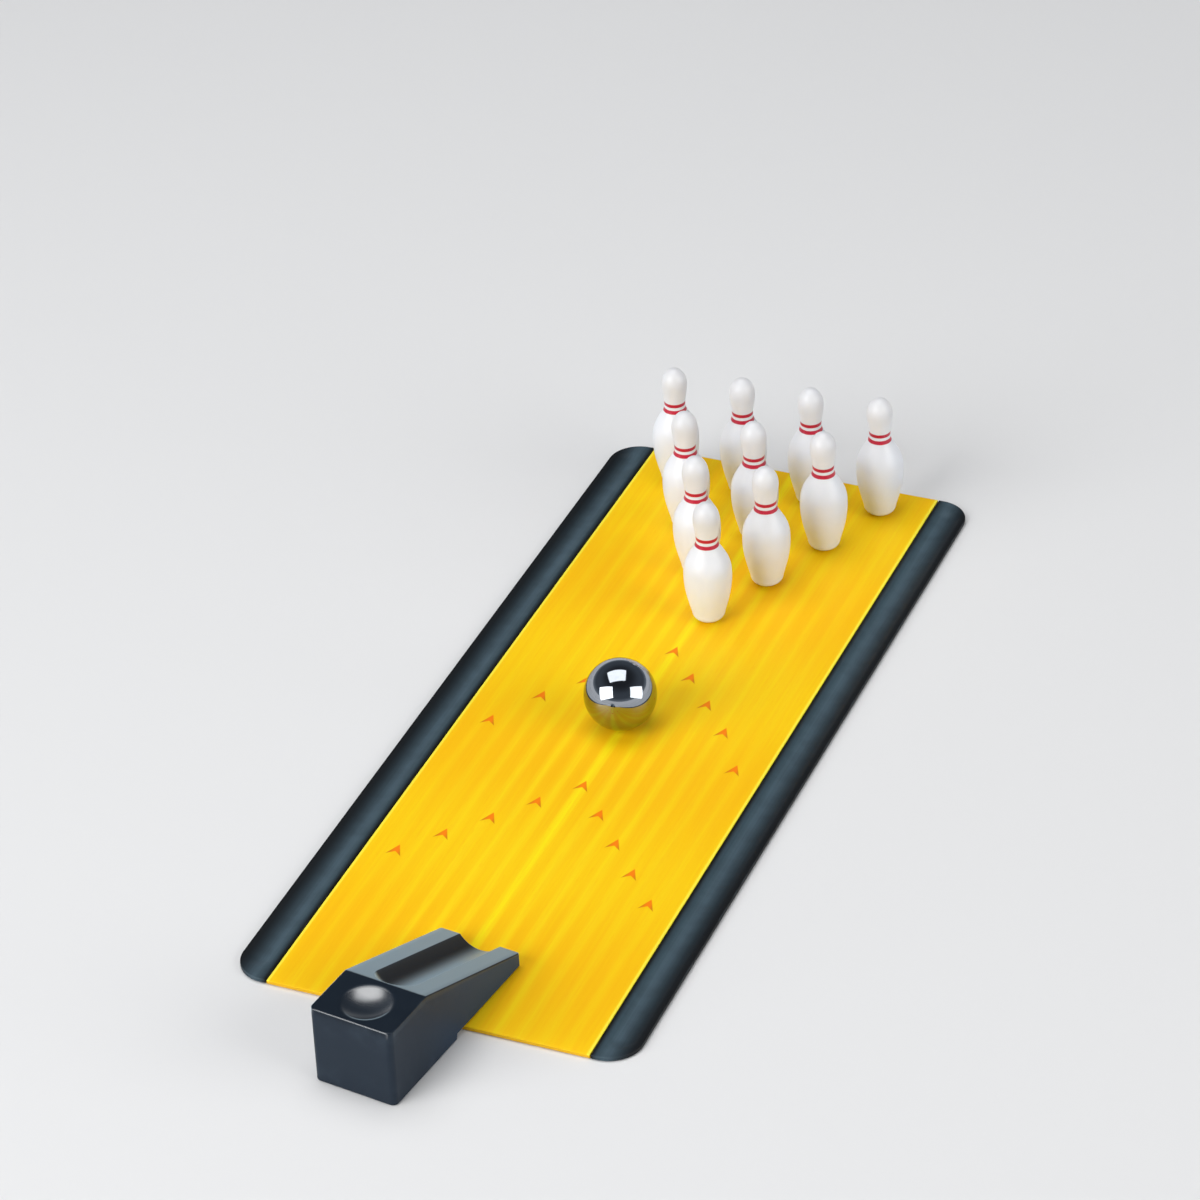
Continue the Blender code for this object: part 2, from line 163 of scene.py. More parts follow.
def two_sheet_mesh(
    name: str, upper: Array, lower: Array, marks: dict[str, tuple[Array, Array]]
) -> bpy.types.Mesh:
    """A closed solid between an upper and a lower sheet that share their outline seen from above.

    The sheets' borders are joined by a wall in five strips, whose narrow outer ones keep the wall flat.

    Args:
        name: The mesh's name.
        upper: Points of the upper sheet, rows along +Y and columns along +X.
        lower: Points of the lower sheet, on the same rows and columns.
        marks: Values on the upper and the lower sheet, by name. The wall's values follow from the name.

    Returns:
        The closed mesh.
    """
    rows, columns, _ = upper.shape
    sheet, border = rows * columns, grid_border(rows, columns)
    top, bottom = upper.reshape(-1, 3), lower.reshape(-1, 3)
    reach = bottom[border] - top[border]
    points = np.concatenate([top, bottom, *(top[border] + reach * share for share in WALL_SHARES)])
    values = {
        label: np.concatenate([above.ravel(), below.ravel(), np.repeat(WALL_VALUES[label], len(border))])
        for label, (above, below) in marks.items()
    }
    rings = np.arange(2 * sheet, len(points)).reshape(-1, len(border))
    loops = [border, *rings, sheet + border]
    quads = [grid_quads(rows, columns, 0, True), grid_quads(rows, columns, sheet, False)]
    quads += [ring_quads(below, above) for above, below in zip(loops, loops[1:])]
    return mesh_from(name, points, np.concatenate(quads).tolist(), values)


def turned_mesh(name: str, profile: Array, steps: int, centre: Array) -> bpy.types.Mesh:
    """A solid of revolution: a profile turned about a vertical axis.

    A point at angle a and profile place k lies at (radius k times cos a, radius k times sin a, height k).
    Its map holds the share of a turn and the height in metres.

    Args:
        name: The mesh's name.
        profile: Rows of (radius, height), from the top pole to the bottom pole.
        steps: Divisions of a turn.
        centre: Where the axis meets height 0.

    Returns:
        The closed mesh, with its map.
    """
    rings, around = profile[1:-1], np.arange(steps)
    count, last, after = len(rings), (len(rings) - 1) * steps, (around + 1) % steps
    angle = 2 * math.pi * around / steps
    circle = np.stack([np.cos(angle), np.sin(angle)], -1)
    shell = np.concatenate([rings[:, None, :1] * circle, np.repeat(rings[:, None, 1:], steps, axis=1)], -1)
    poles = [[0.0, 0.0, profile[0, 1]], [0.0, 0.0, profile[-1, 1]]]
    ring, step = np.meshgrid(np.arange(count - 1) * steps, around, indexing="ij")
    following = (step + 1) % steps
    corners = [ring + step, ring + steps + step, ring + steps + following, ring + following]
    quads = np.stack(corners, -1).reshape(-1, 4)
    cap = np.stack([np.full(steps, count * steps), around, after], -1)
    foot = np.stack([np.full(steps, count * steps + 1), last + after, last + around], -1)
    faces = quads.tolist() + cap.tolist() + foot.tolist()
    mesh = mesh_from(name, np.concatenate([shell.reshape(-1, 3), poles]) + centre, faces)
    turns = [
        np.stack([step, step, step + 1, step + 1], -1),
        np.stack([around + 0.5, around, around + 1], -1),
        np.stack([around + 0.5, around + 1, around], -1),
    ]
    turn = np.concatenate([part.ravel() for part in turns])
    heights = np.concatenate([np.repeat(rings[:, 1], steps), profile[[0, -1], 1]])
    rise = heights[np.concatenate([quads.ravel(), cap.ravel(), foot.ravel()])]
    layer = mesh.uv_layers.new(name=TURNING_MAP)
    layer.data.foreach_set("uv", np.stack([turn / steps, rise], -1).astype(np.float32).ravel())
    return mesh


def outward(mesh: bpy.types.Mesh) -> bpy.types.Mesh:
    """Turns a mesh's faces outwards, judged by the sign of the volume that they close in.

    Args:
        mesh: A closed mesh whose faces agree with each other.

    Returns:
        The same mesh.
    """
    mesh.calc_loop_triangles()
    points = np.zeros(len(mesh.vertices) * 3)
    mesh.vertices.foreach_get("co", points)
    corners = np.zeros(len(mesh.loop_triangles) * 3, dtype=np.int32)
    mesh.loop_triangles.foreach_get("vertices", corners)
    a, b, c = points.reshape(-1, 3)[corners.reshape(-1, 3)].transpose(1, 0, 2)
    if np.einsum("ij,ij->i", a, np.cross(b, c)).sum() < 0:
        mesh.flip_normals()
    return mesh


# Shader graphs and finishes


class Signal:
    """A value on its way through a node tree, with the usual arithmetic."""

    def __init__(self, graph: "Graph", socket: bpy.types.NodeSocket) -> None:
        """Holds an output socket and the graph that it belongs to."""
        self.graph, self.socket = graph, socket

    def math(self, operation: str, *others: "Operand", clamp: bool = False) -> "Signal":
        """What an arithmetic node makes of this value and others."""
        return self.graph.math(operation, self, *others, clamp=clamp)

    # Sum, difference, product, quotient and the value without its sign, each one arithmetic node
    __add__, __sub__ = partialmethod(math, "ADD"), partialmethod(math, "SUBTRACT")
    __mul__, __truediv__ = partialmethod(math, "MULTIPLY"), partialmethod(math, "DIVIDE")
    __abs__ = partialmethod(math, "ABSOLUTE")

    def __rsub__(self, other: float) -> "Signal":
        """A number less this value."""
        return self.graph.math("SUBTRACT", other, self)

    def __rtruediv__(self, other: float) -> "Signal":
        """A number divided by this value."""
        return self.graph.math("DIVIDE", other, self)

    def span(self, low: "Operand", high: "Operand", to_low: float = 0.0, to_high: float = 1.0) -> "Signal":
        """The value carried smoothly from the range low to high to another one, and held at its ends."""
        inputs = {"Value": self, "From Min": low, "From Max": high, "To Min": to_low, "To Max": to_high}
        return self.graph.add("ShaderNodeMapRange", inputs, "Result", interpolation_type="SMOOTHSTEP")

    def noise(self, scale: "Operand", detail: float, rough: float = 0.5) -> "Signal":
        """A smooth random pattern between 0 and 1 at this place."""
        inputs = {"Vector": self, "Scale": scale, "Detail": detail, "Roughness": rough}
        return self.graph.add("ShaderNodeTexNoise", inputs, "Fac")

    def parts(self) -> list["Signal"]:
        """The three parts of this vector."""
        return list(self.graph.outputs(self.graph.node("ShaderNodeSeparateXYZ", {0: self})).values())


Operand = Signal | float | Colour
Inputs = dict[str | int, Operand]


class Graph:
    """A node tree with short calls that add nodes and join their sockets."""

    def __init__(self, tree: bpy.types.NodeTree) -> None:
        """Starts on a tree, which may be a material's or a group's."""
        self.tree = tree

    def feed(self, socket: bpy.types.NodeSocket, value: Operand) -> None:
        """Joins a socket to a signal, or sets its own value.

        Args:
            socket: The input socket.
            value: A signal, a number, a vector or a colour.
        """
        if isinstance(value, Signal):
            self.tree.links.new(value.socket, socket)
        elif socket.type == "RGBA":
            socket.default_value = (*value, 1.0)
        else:
            socket.default_value = value

    def node(self, kind: str, inputs: Inputs | None = None, **settings: object) -> bpy.types.Node:
        """Adds a node.

        Args:
            kind: The node's type name.
            inputs: What its inputs are fed, by name or number.
            settings: Properties of the node itself.

        Returns:
            The new node.
        """
        node = self.tree.nodes.new(kind)
        for name, value in settings.items():
            setattr(node, name, value)
        for key, value in (inputs or {}).items():
            self.feed(node.inputs[key], value)
        return node

    def outputs(self, node: bpy.types.Node) -> dict[str, Signal]:
        """A node's outputs by name."""
        return {socket.name: Signal(self, socket) for socket in node.outputs}

    def add(
        self, kind: str, inputs: Inputs | None = None, output: str | int = 0, **settings: object
    ) -> Signal:
        """One output of a node added as by node()."""
        return Signal(self, self.node(kind, inputs, **settings).outputs[output])

    def math(self, operation: str, *values: Operand, clamp: bool = False) -> Signal:
        """The result of one arithmetic step."""
        return self.add("ShaderNodeMath", dict(enumerate(values)), operation=operation, use_clamp=clamp)

    def mix(self, share: Operand, first: Operand, second: Operand) -> Signal:
        """A mix of two colours, given the share of the second."""
        return self.add("ShaderNodeMix", {0: share, 6: first, 7: second}, 2, data_type="RGBA")

    def veil(self, colour: Operand, other: Operand, pattern: Signal, span: Span) -> Signal:
        """A colour with another laid over it by as much as a pattern, carried over a span, says."""
        return self.mix(pattern.span(*span), colour, other)


class Group(Graph):
    """A shader group being made."""

    def __init__(self, name: str, inputs: tuple[str, ...], outputs: tuple[str, ...]) -> None:
        """Starts a group. Inputs and outputs are numbers, apart from those called Vector and Normal.

        Args:
            name: The group's name.
            inputs: Names of its inputs.
            outputs: Names of its outputs.
        """
        super().__init__(bpy.data.node_groups.new(name, "ShaderNodeTree"))
        for way, labels in (("INPUT", inputs), ("OUTPUT", outputs)):
            for label in labels:
                kind = "NodeSocketVector" if label in ("Vector", "Normal") else "NodeSocketFloat"
                self.tree.interface.new_socket(name=label, in_out=way, socket_type=kind)
        self.given = self.outputs(self.node("NodeGroupInput"))

    def close(self, **results: Signal) -> bpy.types.NodeTree:
        """The group's tree, once its outputs are fed, by name."""
        self.node("NodeGroupOutput", results)
        return self.tree


def long_grain_group() -> bpy.types.NodeTree:
    """Streaks that run along the lane: noise on coordinates squeezed across it and stretched along it.

    Returns:
        The group, which is given the streaks' sizes across and along the lane.
    """
    group = Group("long grain", ("Vector", "Across", "Along"), ("Value",))
    x, y, z = group.given["Vector"].parts()
    across, along = group.given["Across"], group.given["Along"]
    place = group.add("ShaderNodeCombineXYZ", {0: x / across, 1: y / along, 2: z / across})
    return group.close(Value=place.noise(1.0, 3.0))


def moulded_skin_group() -> bpy.types.NodeTree:
    """The fine skin of a moulding: a pebbled bump, patches of unlike gloss and a faint change of tint.

    Returns:
        The group, whose patches are noise twenty times as coarse as its pebbles.
    """
    patch_share, pebble_weight, usual_level = 0.05, 0.4, 0.7
    group = Group(
        "moulded skin", ("Vector", "Pebble", "Roughness", "Spread", "Depth"), ("Tint", "Roughness", "Normal")
    )
    given = group.given
    fine_scale = 1.0 / given["Pebble"]
    pebbles = given["Vector"].noise(fine_scale, 3.0, 0.6)
    patches = given["Vector"].noise(fine_scale * patch_share, 4.0, 0.55)
    spread = (patches + pebbles * pebble_weight - usual_level) * given["Spread"]
    rough = given["Roughness"].math("ADD", spread, clamp=True)
    bump = group.add("ShaderNodeBump", {"Strength": 1.0, "Distance": given["Depth"], "Height": pebbles})
    return group.close(Tint=patches, Roughness=rough, Normal=bump)


def handling_marks_group() -> bpy.types.NodeTree:
    """Marks of use: soft smudges, and hairlines where two stretched noises cross a narrow level.

    Returns:
        The group, which is given the marks' size.
    """
    tilt, level, half_width, smudge_span = 0.3, 0.62, 0.012, (0.48, 0.72)
    group = Group("handling marks", ("Vector", "Size"), ("Smudges", "Hairlines"))
    inputs = {0: group.given["Vector"], "Scale": 1.0 / group.given["Size"]}
    vector = group.add("ShaderNodeVectorMath", inputs, operation="SCALE")
    lines = []
    for turn, stretch in ((0.5, 14.0), (2.2, 18.0)):
        inputs = {"Vector": vector, "Rotation": (tilt, turn, turn), "Scale": (stretch, 1.0, 1.0)}
        value = group.add("ShaderNodeMapping", inputs).noise(1.0, 1.0)
        lines.append(abs(value - level).span(0.0, half_width, 1.0, 0.0))
    smudges = vector.noise(0.9, 4.0, 0.6).span(*smudge_span)
    return group.close(Smudges=smudges, Hairlines=group.math("MAXIMUM", *lines))


@dataclass(frozen=True)
class LaneMarks:
    """Sizes of the lane's printed darts and bright stripes, in metres."""

    columns_each_side: int = 4
    column_pitch: float = 8.9 * MM
    row_fall: float = 10.6 * MM
    lower_apex: float = -27.9 * MM
    upper_apex: float = 38.9 * MM
    upper_last_fall: float = 4.5 * MM
    dart_half_width: float = 2.1 * MM
    dart_length: float = 4.6 * MM
    dart_notch: float = 3.0 * MM
    softness: float = 0.16 * MM
    stripe_pitch: float = 6.27 * MM
    stripe_half_width: float = 2.3 * MM
    stripe_fade: Span = (10.0 * MM, 42.0 * MM, 1.0, 0.45)
    wave_length: float = 87.0 * MM
    wave_crest: float = 22.0 * MM

    def dart_group(self) -> bpy.types.NodeTree:
        """Two rows of notched darts that point down the lane, in a V.

        A dart's column is the nearest whole number of pitches from the middle, and its tip falls back by a
        fixed step for each column. A point is inside where it is behind both leading edges and ahead of both
        trailing edges.

        Returns:
            The group, with the darts' mask and how far out along its arms a point is.
        """
        group = Group("lane darts", ("Vector",), ("Mask", "Arm"))
        x, y, _ = group.given["Vector"].parts()
        column = (x / self.column_pitch).math("ROUND")
        across, count = abs(x - column * self.column_pitch), abs(column)
        fall = count * self.row_fall
        last = count.math("GREATER_THAN", self.columns_each_side - 0.5)
        printed = count.math("LESS_THAN", self.columns_each_side + 0.5)
        lead = self.dart_length / self.dart_half_width
        trail = (self.dart_length - self.dart_notch) / self.dart_half_width
        masks = []
        for apex, extra in ((self.lower_apex, 0.0), (self.upper_apex, self.upper_last_fall)):
            behind = apex - (fall + last * extra) - y
            from_lead = behind - across * lead
            from_trail = across.math("MULTIPLY_ADD", trail, self.dart_notch) - behind
            inside = (from_lead / lead).math("MINIMUM", from_trail)
            masks.append(inside.span(-self.softness, self.softness))
        arm = across.math("DIVIDE", self.dart_half_width, clamp=True)
        return group.close(Mask=group.math("MAXIMUM", *masks) * printed, Arm=arm)

    def stripe_group(self) -> bpy.types.NodeTree:
        """Bright stripes along the lane at an even pitch, and a slow wave of brightness down its length.

        A stripe is a soft band about each whole number of pitches, and the wave is a cosine of the length.

        Returns:
            The group, with the stripes, the middle stripe and the wave, each from 0 to 1.
        """
        group = Group("lane stripes", ("Vector",), ("Stripes", "Middle", "Wave"))
        x, y, _ = group.given["Vector"].parts()
        count = x / self.stripe_pitch
        number = count.math("ROUND")
        off = abs(count - number) * self.stripe_pitch
        band = off.span(0.0, self.stripe_half_width, 1.0, 0.0)
        near_middle = abs(number).math("LESS_THAN", 0.5)
        turn = (y - self.wave_crest) * (2 * math.pi / self.wave_length)
        wave = turn.math("COSINE").math("MULTIPLY_ADD", 0.5, 0.5)
        stripes = band * abs(x).span(*self.stripe_fade)
        return group.close(Stripes=stripes, Middle=band * near_middle, Wave=wave)


class Effects:
    """The shader groups that the finishes share, each built once."""

    def __init__(self, marks: LaneMarks) -> None:
        """Builds every group.

        Args:
            marks: Sizes of the lane's printed marks.
        """
        self.long_grain, self.moulded_skin = long_grain_group(), moulded_skin_group()
        self.handling_marks = handling_marks_group()
        self.darts, self.stripes = marks.dart_group(), marks.stripe_group()


class Skin(NamedTuple):
    """A moulding's fine skin: its pebbles' size, its roughness, how far that strays, and their depth."""

    pebble: float
    roughness: float
    spread: float
    depth: float


class Finish(Graph):
    """A material being made: its graph, its Principled shader, and the coordinates that it reads."""

    def __init__(self, name: str, effects: Effects) -> None:
        """Starts a material with an unlinked Principled shader.

        Args:
            name: The material's name.
            effects: The shared groups.
        """
        self.material = bpy.data.materials.new(name)
        self.material.use_nodes = True
        self.material.node_tree.nodes.clear()
        super().__init__(self.material.node_tree)
        self.effects = effects
        self.shader = self.node("ShaderNodeBsdfPrincipled")
        self.lit = Signal(self, self.shader.outputs[0])
        self.output = self.node("ShaderNodeOutputMaterial", {"Surface": self.lit})
        self.place = self.add("ShaderNodeTexCoord", output="Object")

    def effect(self, tree: bpy.types.NodeTree, **inputs: Operand) -> dict[str, Signal]:
        """The outputs of a shared group placed on object coordinates, given its other inputs by name."""
        return self.outputs(self.node("ShaderNodeGroup", {"Vector": self.place, **inputs}, node_tree=tree))

    def moulded(self, skin: Skin) -> dict[str, Signal]:
        """The outputs of the moulded skin."""
        inputs = dict(zip(("Pebble", "Roughness", "Spread", "Depth"), skin))
        return self.effect(self.effects.moulded_skin, **inputs)

    def handled(self, size: float, rough: Operand, *added: float) -> tuple[Signal, Signal, Operand]:
        """The handling marks, and a roughness that rises where they lie.

        Args:
            size: The marks' size.
            rough: The roughness without them.
            added: How much rougher smudges are, and then hairlines.

        Returns:
            Smudges, hairlines and the roughness.
        """
        marks = self.effect(self.effects.handling_marks, Size=size)
        for mark, share in zip(marks.values(), added):
            rough = mark.math("MULTIPLY_ADD", share, rough)
        return marks["Smudges"], marks["Hairlines"], rough

    def grain(self, across: float, along: float) -> Signal:
        """Streaks of the given sizes."""
        return self.effect(self.effects.long_grain, Across=across, Along=along)["Value"]

    def mark(self, label: str) -> Signal:
        """A value from 0 to 1 that the mesh holds at each point under a name."""
        return self.add("ShaderNodeAttribute", output="Fac", attribute_name=label)

    def set(self, **inputs: Operand) -> None:
        """Feeds the shader's sockets, named with underscores for spaces."""
        for name, value in inputs.items():
            self.feed(self.shader.inputs[name.replace("_", " ")], value)


class Dressing(ABC):
    """A finish that can be made into a material. Each kind lays its own colours and gloss."""

    name: str

    @abstractmethod
    def lay(self, finish: Finish) -> None:
        """Feeds the material's shader."""

    def build(self, effects: Effects) -> bpy.types.Material:
        """Makes the material.

        Args:
            effects: The shared groups.

        Returns:
            The finished material.
        """
        finish = Finish(self.name, effects)
        self.lay(finish)
        return finish.material


@dataclass(frozen=True)
class LanePrint(Dressing):
    """The lane's printed face: yellow boards with bright stripes, fine grain and orange darts."""

    name = "lane_print"
    valley: Colour = (0.975, 0.535, 0.004)
    crest: Colour = (0.985, 0.625, 0.005)
    stripe: Colour = (0.99, 0.715, 0.010)
    middle: Colour = (0.99, 0.790, 0.008)
    # Painted highlight: a brighter yellow line along each long edge of the board
    border: Colour = (1.0, 0.860, 0.060)
    pore: Colour = (0.93, 0.430, 0.004)
    dart: Colour = shown(250, 122, 16)
    dart_arm: Colour = shown(206, 116, 14)
    underside: Colour = shown(236, 184, 34)
    wander: float = 0.9
    stripe_share: float = 0.75
    middle_share: float = 0.9
    edge_highlight_share: float = 0.9
    dart_share: float = 0.92
    edge_highlight_inner: float = 43.2 * MM
    edge_highlight_outer: float = 43.7 * MM
    print_height: float = 0.9 * MM
    streak_size: tuple[float, float] = (2.2 * MM, 90.0 * MM)
    grain_size: tuple[float, float] = (0.75 * MM, 26.0 * MM)
    pore_size: tuple[float, float] = (0.34 * MM, 5.0 * MM)
    grain_veil: Span = (0.30, 0.70, 0.22, 0.0)
    pore_veil: Span = (0.28, 0.42, 0.22, 0.0)
    under_veil: Span = (0.3, 0.7, 0.0, 0.25)
    arm_veil: Span = (0.15, 0.95, 0.0, 1.0)
    skin: Skin = Skin(0.35 * MM, 0.46, 0.16, 0.006 * MM)

    def lay(self, finish: Finish) -> None:
        """Lays boards, stripes, grain, a painted highlight along the long edges, and darts over each other,
        and the plain underside.

        Args:
            finish: The material being made.
        """
        x, _, z = finish.place.parts()
        stripes, darts = finish.effect(finish.effects.stripes), finish.effect(finish.effects.darts)
        streaks = finish.grain(*self.streak_size)
        level = stripes["Wave"].math("ADD", (streaks - 0.5) * self.wander, clamp=True)
        colour = finish.mix(level, self.valley, self.crest)
        colour = finish.mix(stripes["Stripes"] * self.stripe_share, colour, self.stripe)
        colour = finish.mix(stripes["Middle"] * self.middle_share, colour, self.middle)
        colour = finish.veil(colour, self.pore, finish.grain(*self.grain_size), self.grain_veil)
        colour = finish.veil(colour, self.pore, finish.grain(*self.pore_size), self.pore_veil)
        # Painted highlight: a brighter yellow line just inside each long edge
        side = abs(x).span(self.edge_highlight_inner, self.edge_highlight_outer)
        colour = finish.mix(side * self.edge_highlight_share, colour, self.border)
        dart = finish.veil(self.dart, self.dart_arm, darts["Arm"], self.arm_veil)
        colour = finish.mix(darts["Mask"] * self.dart_share, colour, dart)
        skin = finish.moulded(self.skin)
        under = finish.veil(self.underside, self.pore, skin["Tint"], self.under_veil)
        colour = finish.mix(z.math("GREATER_THAN", self.print_height), under, colour)
        finish.set(Base_Color=colour, Roughness=skin["Roughness"], Normal=skin["Normal"])
        finish.set(Specular_IOR_Level=0.12)


@dataclass(frozen=True)
class GutterPlastic(Dressing):
    """Slate plastic with painted shade across its channel, darkest at the outer edge and in a thin line at
    the inner one, as (distance from the middle, colour).
    """

    name = "gutter_plastic"
    # Painted shade: darker towards both edges of the channel, with a painted shadow line at the inner edge
    gutter_painted_shades: tuple[tuple[float, Colour], ...] = (
        (44.4 * MM, shown(6, 8, 9)),
        (44.85 * MM, shown(12, 16, 18)),
        (45.3 * MM, shown(38, 51, 58)),
        (46.0 * MM, shown(56, 74, 84)),
        (46.8 * MM, shown(64, 83, 93)),
        (47.8 * MM, shown(73, 92, 103)),
        (49.0 * MM, shown(68, 86, 97)),
        (50.4 * MM, shown(52, 67, 76)),
        (52.0 * MM, shown(31, 42, 49)),
        (53.4 * MM, shown(15, 21, 26)),
        (54.6 * MM, shown(8, 11, 14)),
    )
    dark: Colour = shown(16, 20, 24)
    scuff: Colour = shown(104, 120, 130)
    tint_veil: Span = (0.35, 0.70, 0.0, 0.16)
    grain_veil: Span = (0.25, 0.75, 0.14, 0.0)
    wear: Span = (0.45, 0.75, 0.0, 0.25)
    grain_size: tuple[float, float] = (0.5 * MM, 30.0 * MM)
    skin: Skin = Skin(0.28 * MM, 0.50, 0.18, 0.010 * MM)

    def lay(self, finish: Finish) -> None:
        """Lays the painted shade across the strip, and patches, grain and scuffed edges over it.

        Args:
            finish: The material being made.
        """
        x, _, _ = finish.place.parts()
        low, high = self.gutter_painted_shades[0][0], self.gutter_painted_shades[-1][0]
        # Painted shade across the channel, by distance from the lane's middle
        ramp = finish.node("ShaderNodeValToRGB", {"Fac": (abs(x) - low) / (high - low)})
        stops = ramp.color_ramp.elements
        for distance, shade in self.gutter_painted_shades[1:-1]:
            stops.new((distance - low) / (high - low)).color = (*shade, 1.0)
        stops[0].color, stops[-1].color = (*self.gutter_painted_shades[0][1], 1.0), (*self.gutter_painted_shades[-1][1], 1.0)
        skin = finish.moulded(self.skin)
        colour = finish.veil(finish.outputs(ramp)["Color"], self.dark, skin["Tint"], self.tint_veil)
        colour = finish.veil(colour, self.dark, finish.grain(*self.grain_size), self.grain_veil)
        worn = finish.mark(EDGE_NAME) * skin["Tint"].span(*self.wear)
        colour = finish.mix(worn, colour, self.scuff)
        finish.set(Base_Color=colour, Roughness=skin["Roughness"], Normal=skin["Normal"])
        finish.set(Specular_IOR_Level=0.20)


@dataclass(frozen=True)
class RampPlastic(Dressing):
    """Near-black plastic with a blue cast: satin walls painted lighter, a glossy top with a painted sheen and
    painted shade in its channel, a polished seat.
    """

    name = "ramp_plastic"
    base: Colour = (0.0070, 0.0115, 0.0190)
    tint: Colour = (0.0105, 0.0165, 0.0255)
    # Painted shade: the top darkens to this down in the channel
    painted_channel_shade: Colour = (0.0010, 0.0020, 0.0045)
    # Painted light: the walls are lighter and bluer than the top, and more so towards the lip
    wall: Colour = (0.0145, 0.0225, 0.0350)
    wall_tint: Colour = (0.0180, 0.0265, 0.0400)
    painted_light_wall_front: Colour = (0.0290, 0.0600, 0.1120)
    front_light_start: float = -158.0 * MM
    front_light_end: float = -112.0 * MM
    worn: Colour = shown(70, 82, 94)
    wear: Span = (0.45, 0.80, 0.0, 0.35)
    gloss: Colour = (0.75, 0.88, 1.0)
    # Painted sheen: a pale colour mixed in where the top is seen at a slant
    painted_sheen: Colour = (0.350, 0.490, 0.575)
    painted_sheen_start: float = 0.50
    painted_sheen_end: float = 0.80
    # How much the painted sheen fades down in the channel, as painted shade
    channel_shade_share: float = 0.30
    polish_clear: float = 0.3
    marks_rough: tuple[float, float] = (0.02, 0.03)
    wall_rough: float = 0.20
    marks_size: float = 9.0 * MM
    skin: Skin = Skin(0.30 * MM, 0.30, 0.05, 0.0015 * MM)

    def lay(self, finish: Finish) -> None:
        """Lays walls painted lighter towards the lip, top and channel with painted shade, worn edges, polish,
        and a painted sheen on the top where seen at a slant.

        Args:
            finish: The material being made.
        """
        skin = finish.moulded(self.skin)
        _, _, rough = finish.handled(self.marks_size, skin["Roughness"], *self.marks_rough)
        wall, sunk, polish = finish.mark(WALL_NAME), finish.mark(SUNK_NAME), finish.mark(POLISH_NAME)
        # Painted shade: the top's colour darkens to near black down in the channel
        top = finish.mix(sunk, finish.mix(skin["Tint"], self.base, self.tint), self.painted_channel_shade)
        side = finish.mix(skin["Tint"], self.wall, self.wall_tint)
        _, y, _ = finish.place.parts()
        # Painted light: the walls turn lighter and bluer towards the lip
        side = finish.mix(y.span(self.front_light_start, self.front_light_end), side, self.painted_light_wall_front)
        colour = finish.mix(wall, top, side)
        colour = finish.mix(finish.mark(EDGE_NAME) * skin["Tint"].span(*self.wear), colour, self.worn)
        rough = wall.math("MULTIPLY_ADD", self.wall_rough, rough, clamp=True)
        # Painted sheen: pale where the top is seen at a slant, weaker down in the channel as painted shade,
        # gone where polished
        facing = finish.add("ShaderNodeLayerWeight", {"Normal": skin["Normal"]}, "Facing")
        sheen = facing.span(self.painted_sheen_start, self.painted_sheen_end) * (1.0 - wall)
        sheen = sheen * sunk.math("MULTIPLY_ADD", -self.channel_shade_share, 1.0)
        sheen = sheen * polish.span(0.0, self.polish_clear, 1.0, 0.0)
        finish.set(Base_Color=finish.mix(sheen, colour, self.painted_sheen), Roughness=rough, Normal=skin["Normal"])
        finish.set(Specular_IOR_Level=0.20, Specular_Tint=self.gloss)
        finish.set(Coat_Weight=polish, Coat_Roughness=0.27, Coat_IOR=2.7)


@dataclass(frozen=True)
class BallSteel(Dressing):
    """Polished steel with faint smudges and hairlines."""

    name = "ball_steel"
    base: Colour = (0.34, 0.365, 0.40)
    dull: Colour = (0.29, 0.315, 0.345)
    roughness: float = 0.045
    marks_rough: tuple[float, float] = (0.035, 0.05)
    marks_size: float = 5.0 * MM

    def lay(self, finish: Finish) -> None:
        """Lays the metal, duller and rougher under its marks.

        Args:
            finish: The material being made.
        """
        smudges, _, rough = finish.handled(self.marks_size, self.roughness, *self.marks_rough)
        colour = finish.mix(smudges, self.base, self.dull)
        finish.set(Base_Color=colour, Roughness=rough, Metallic=1.0)


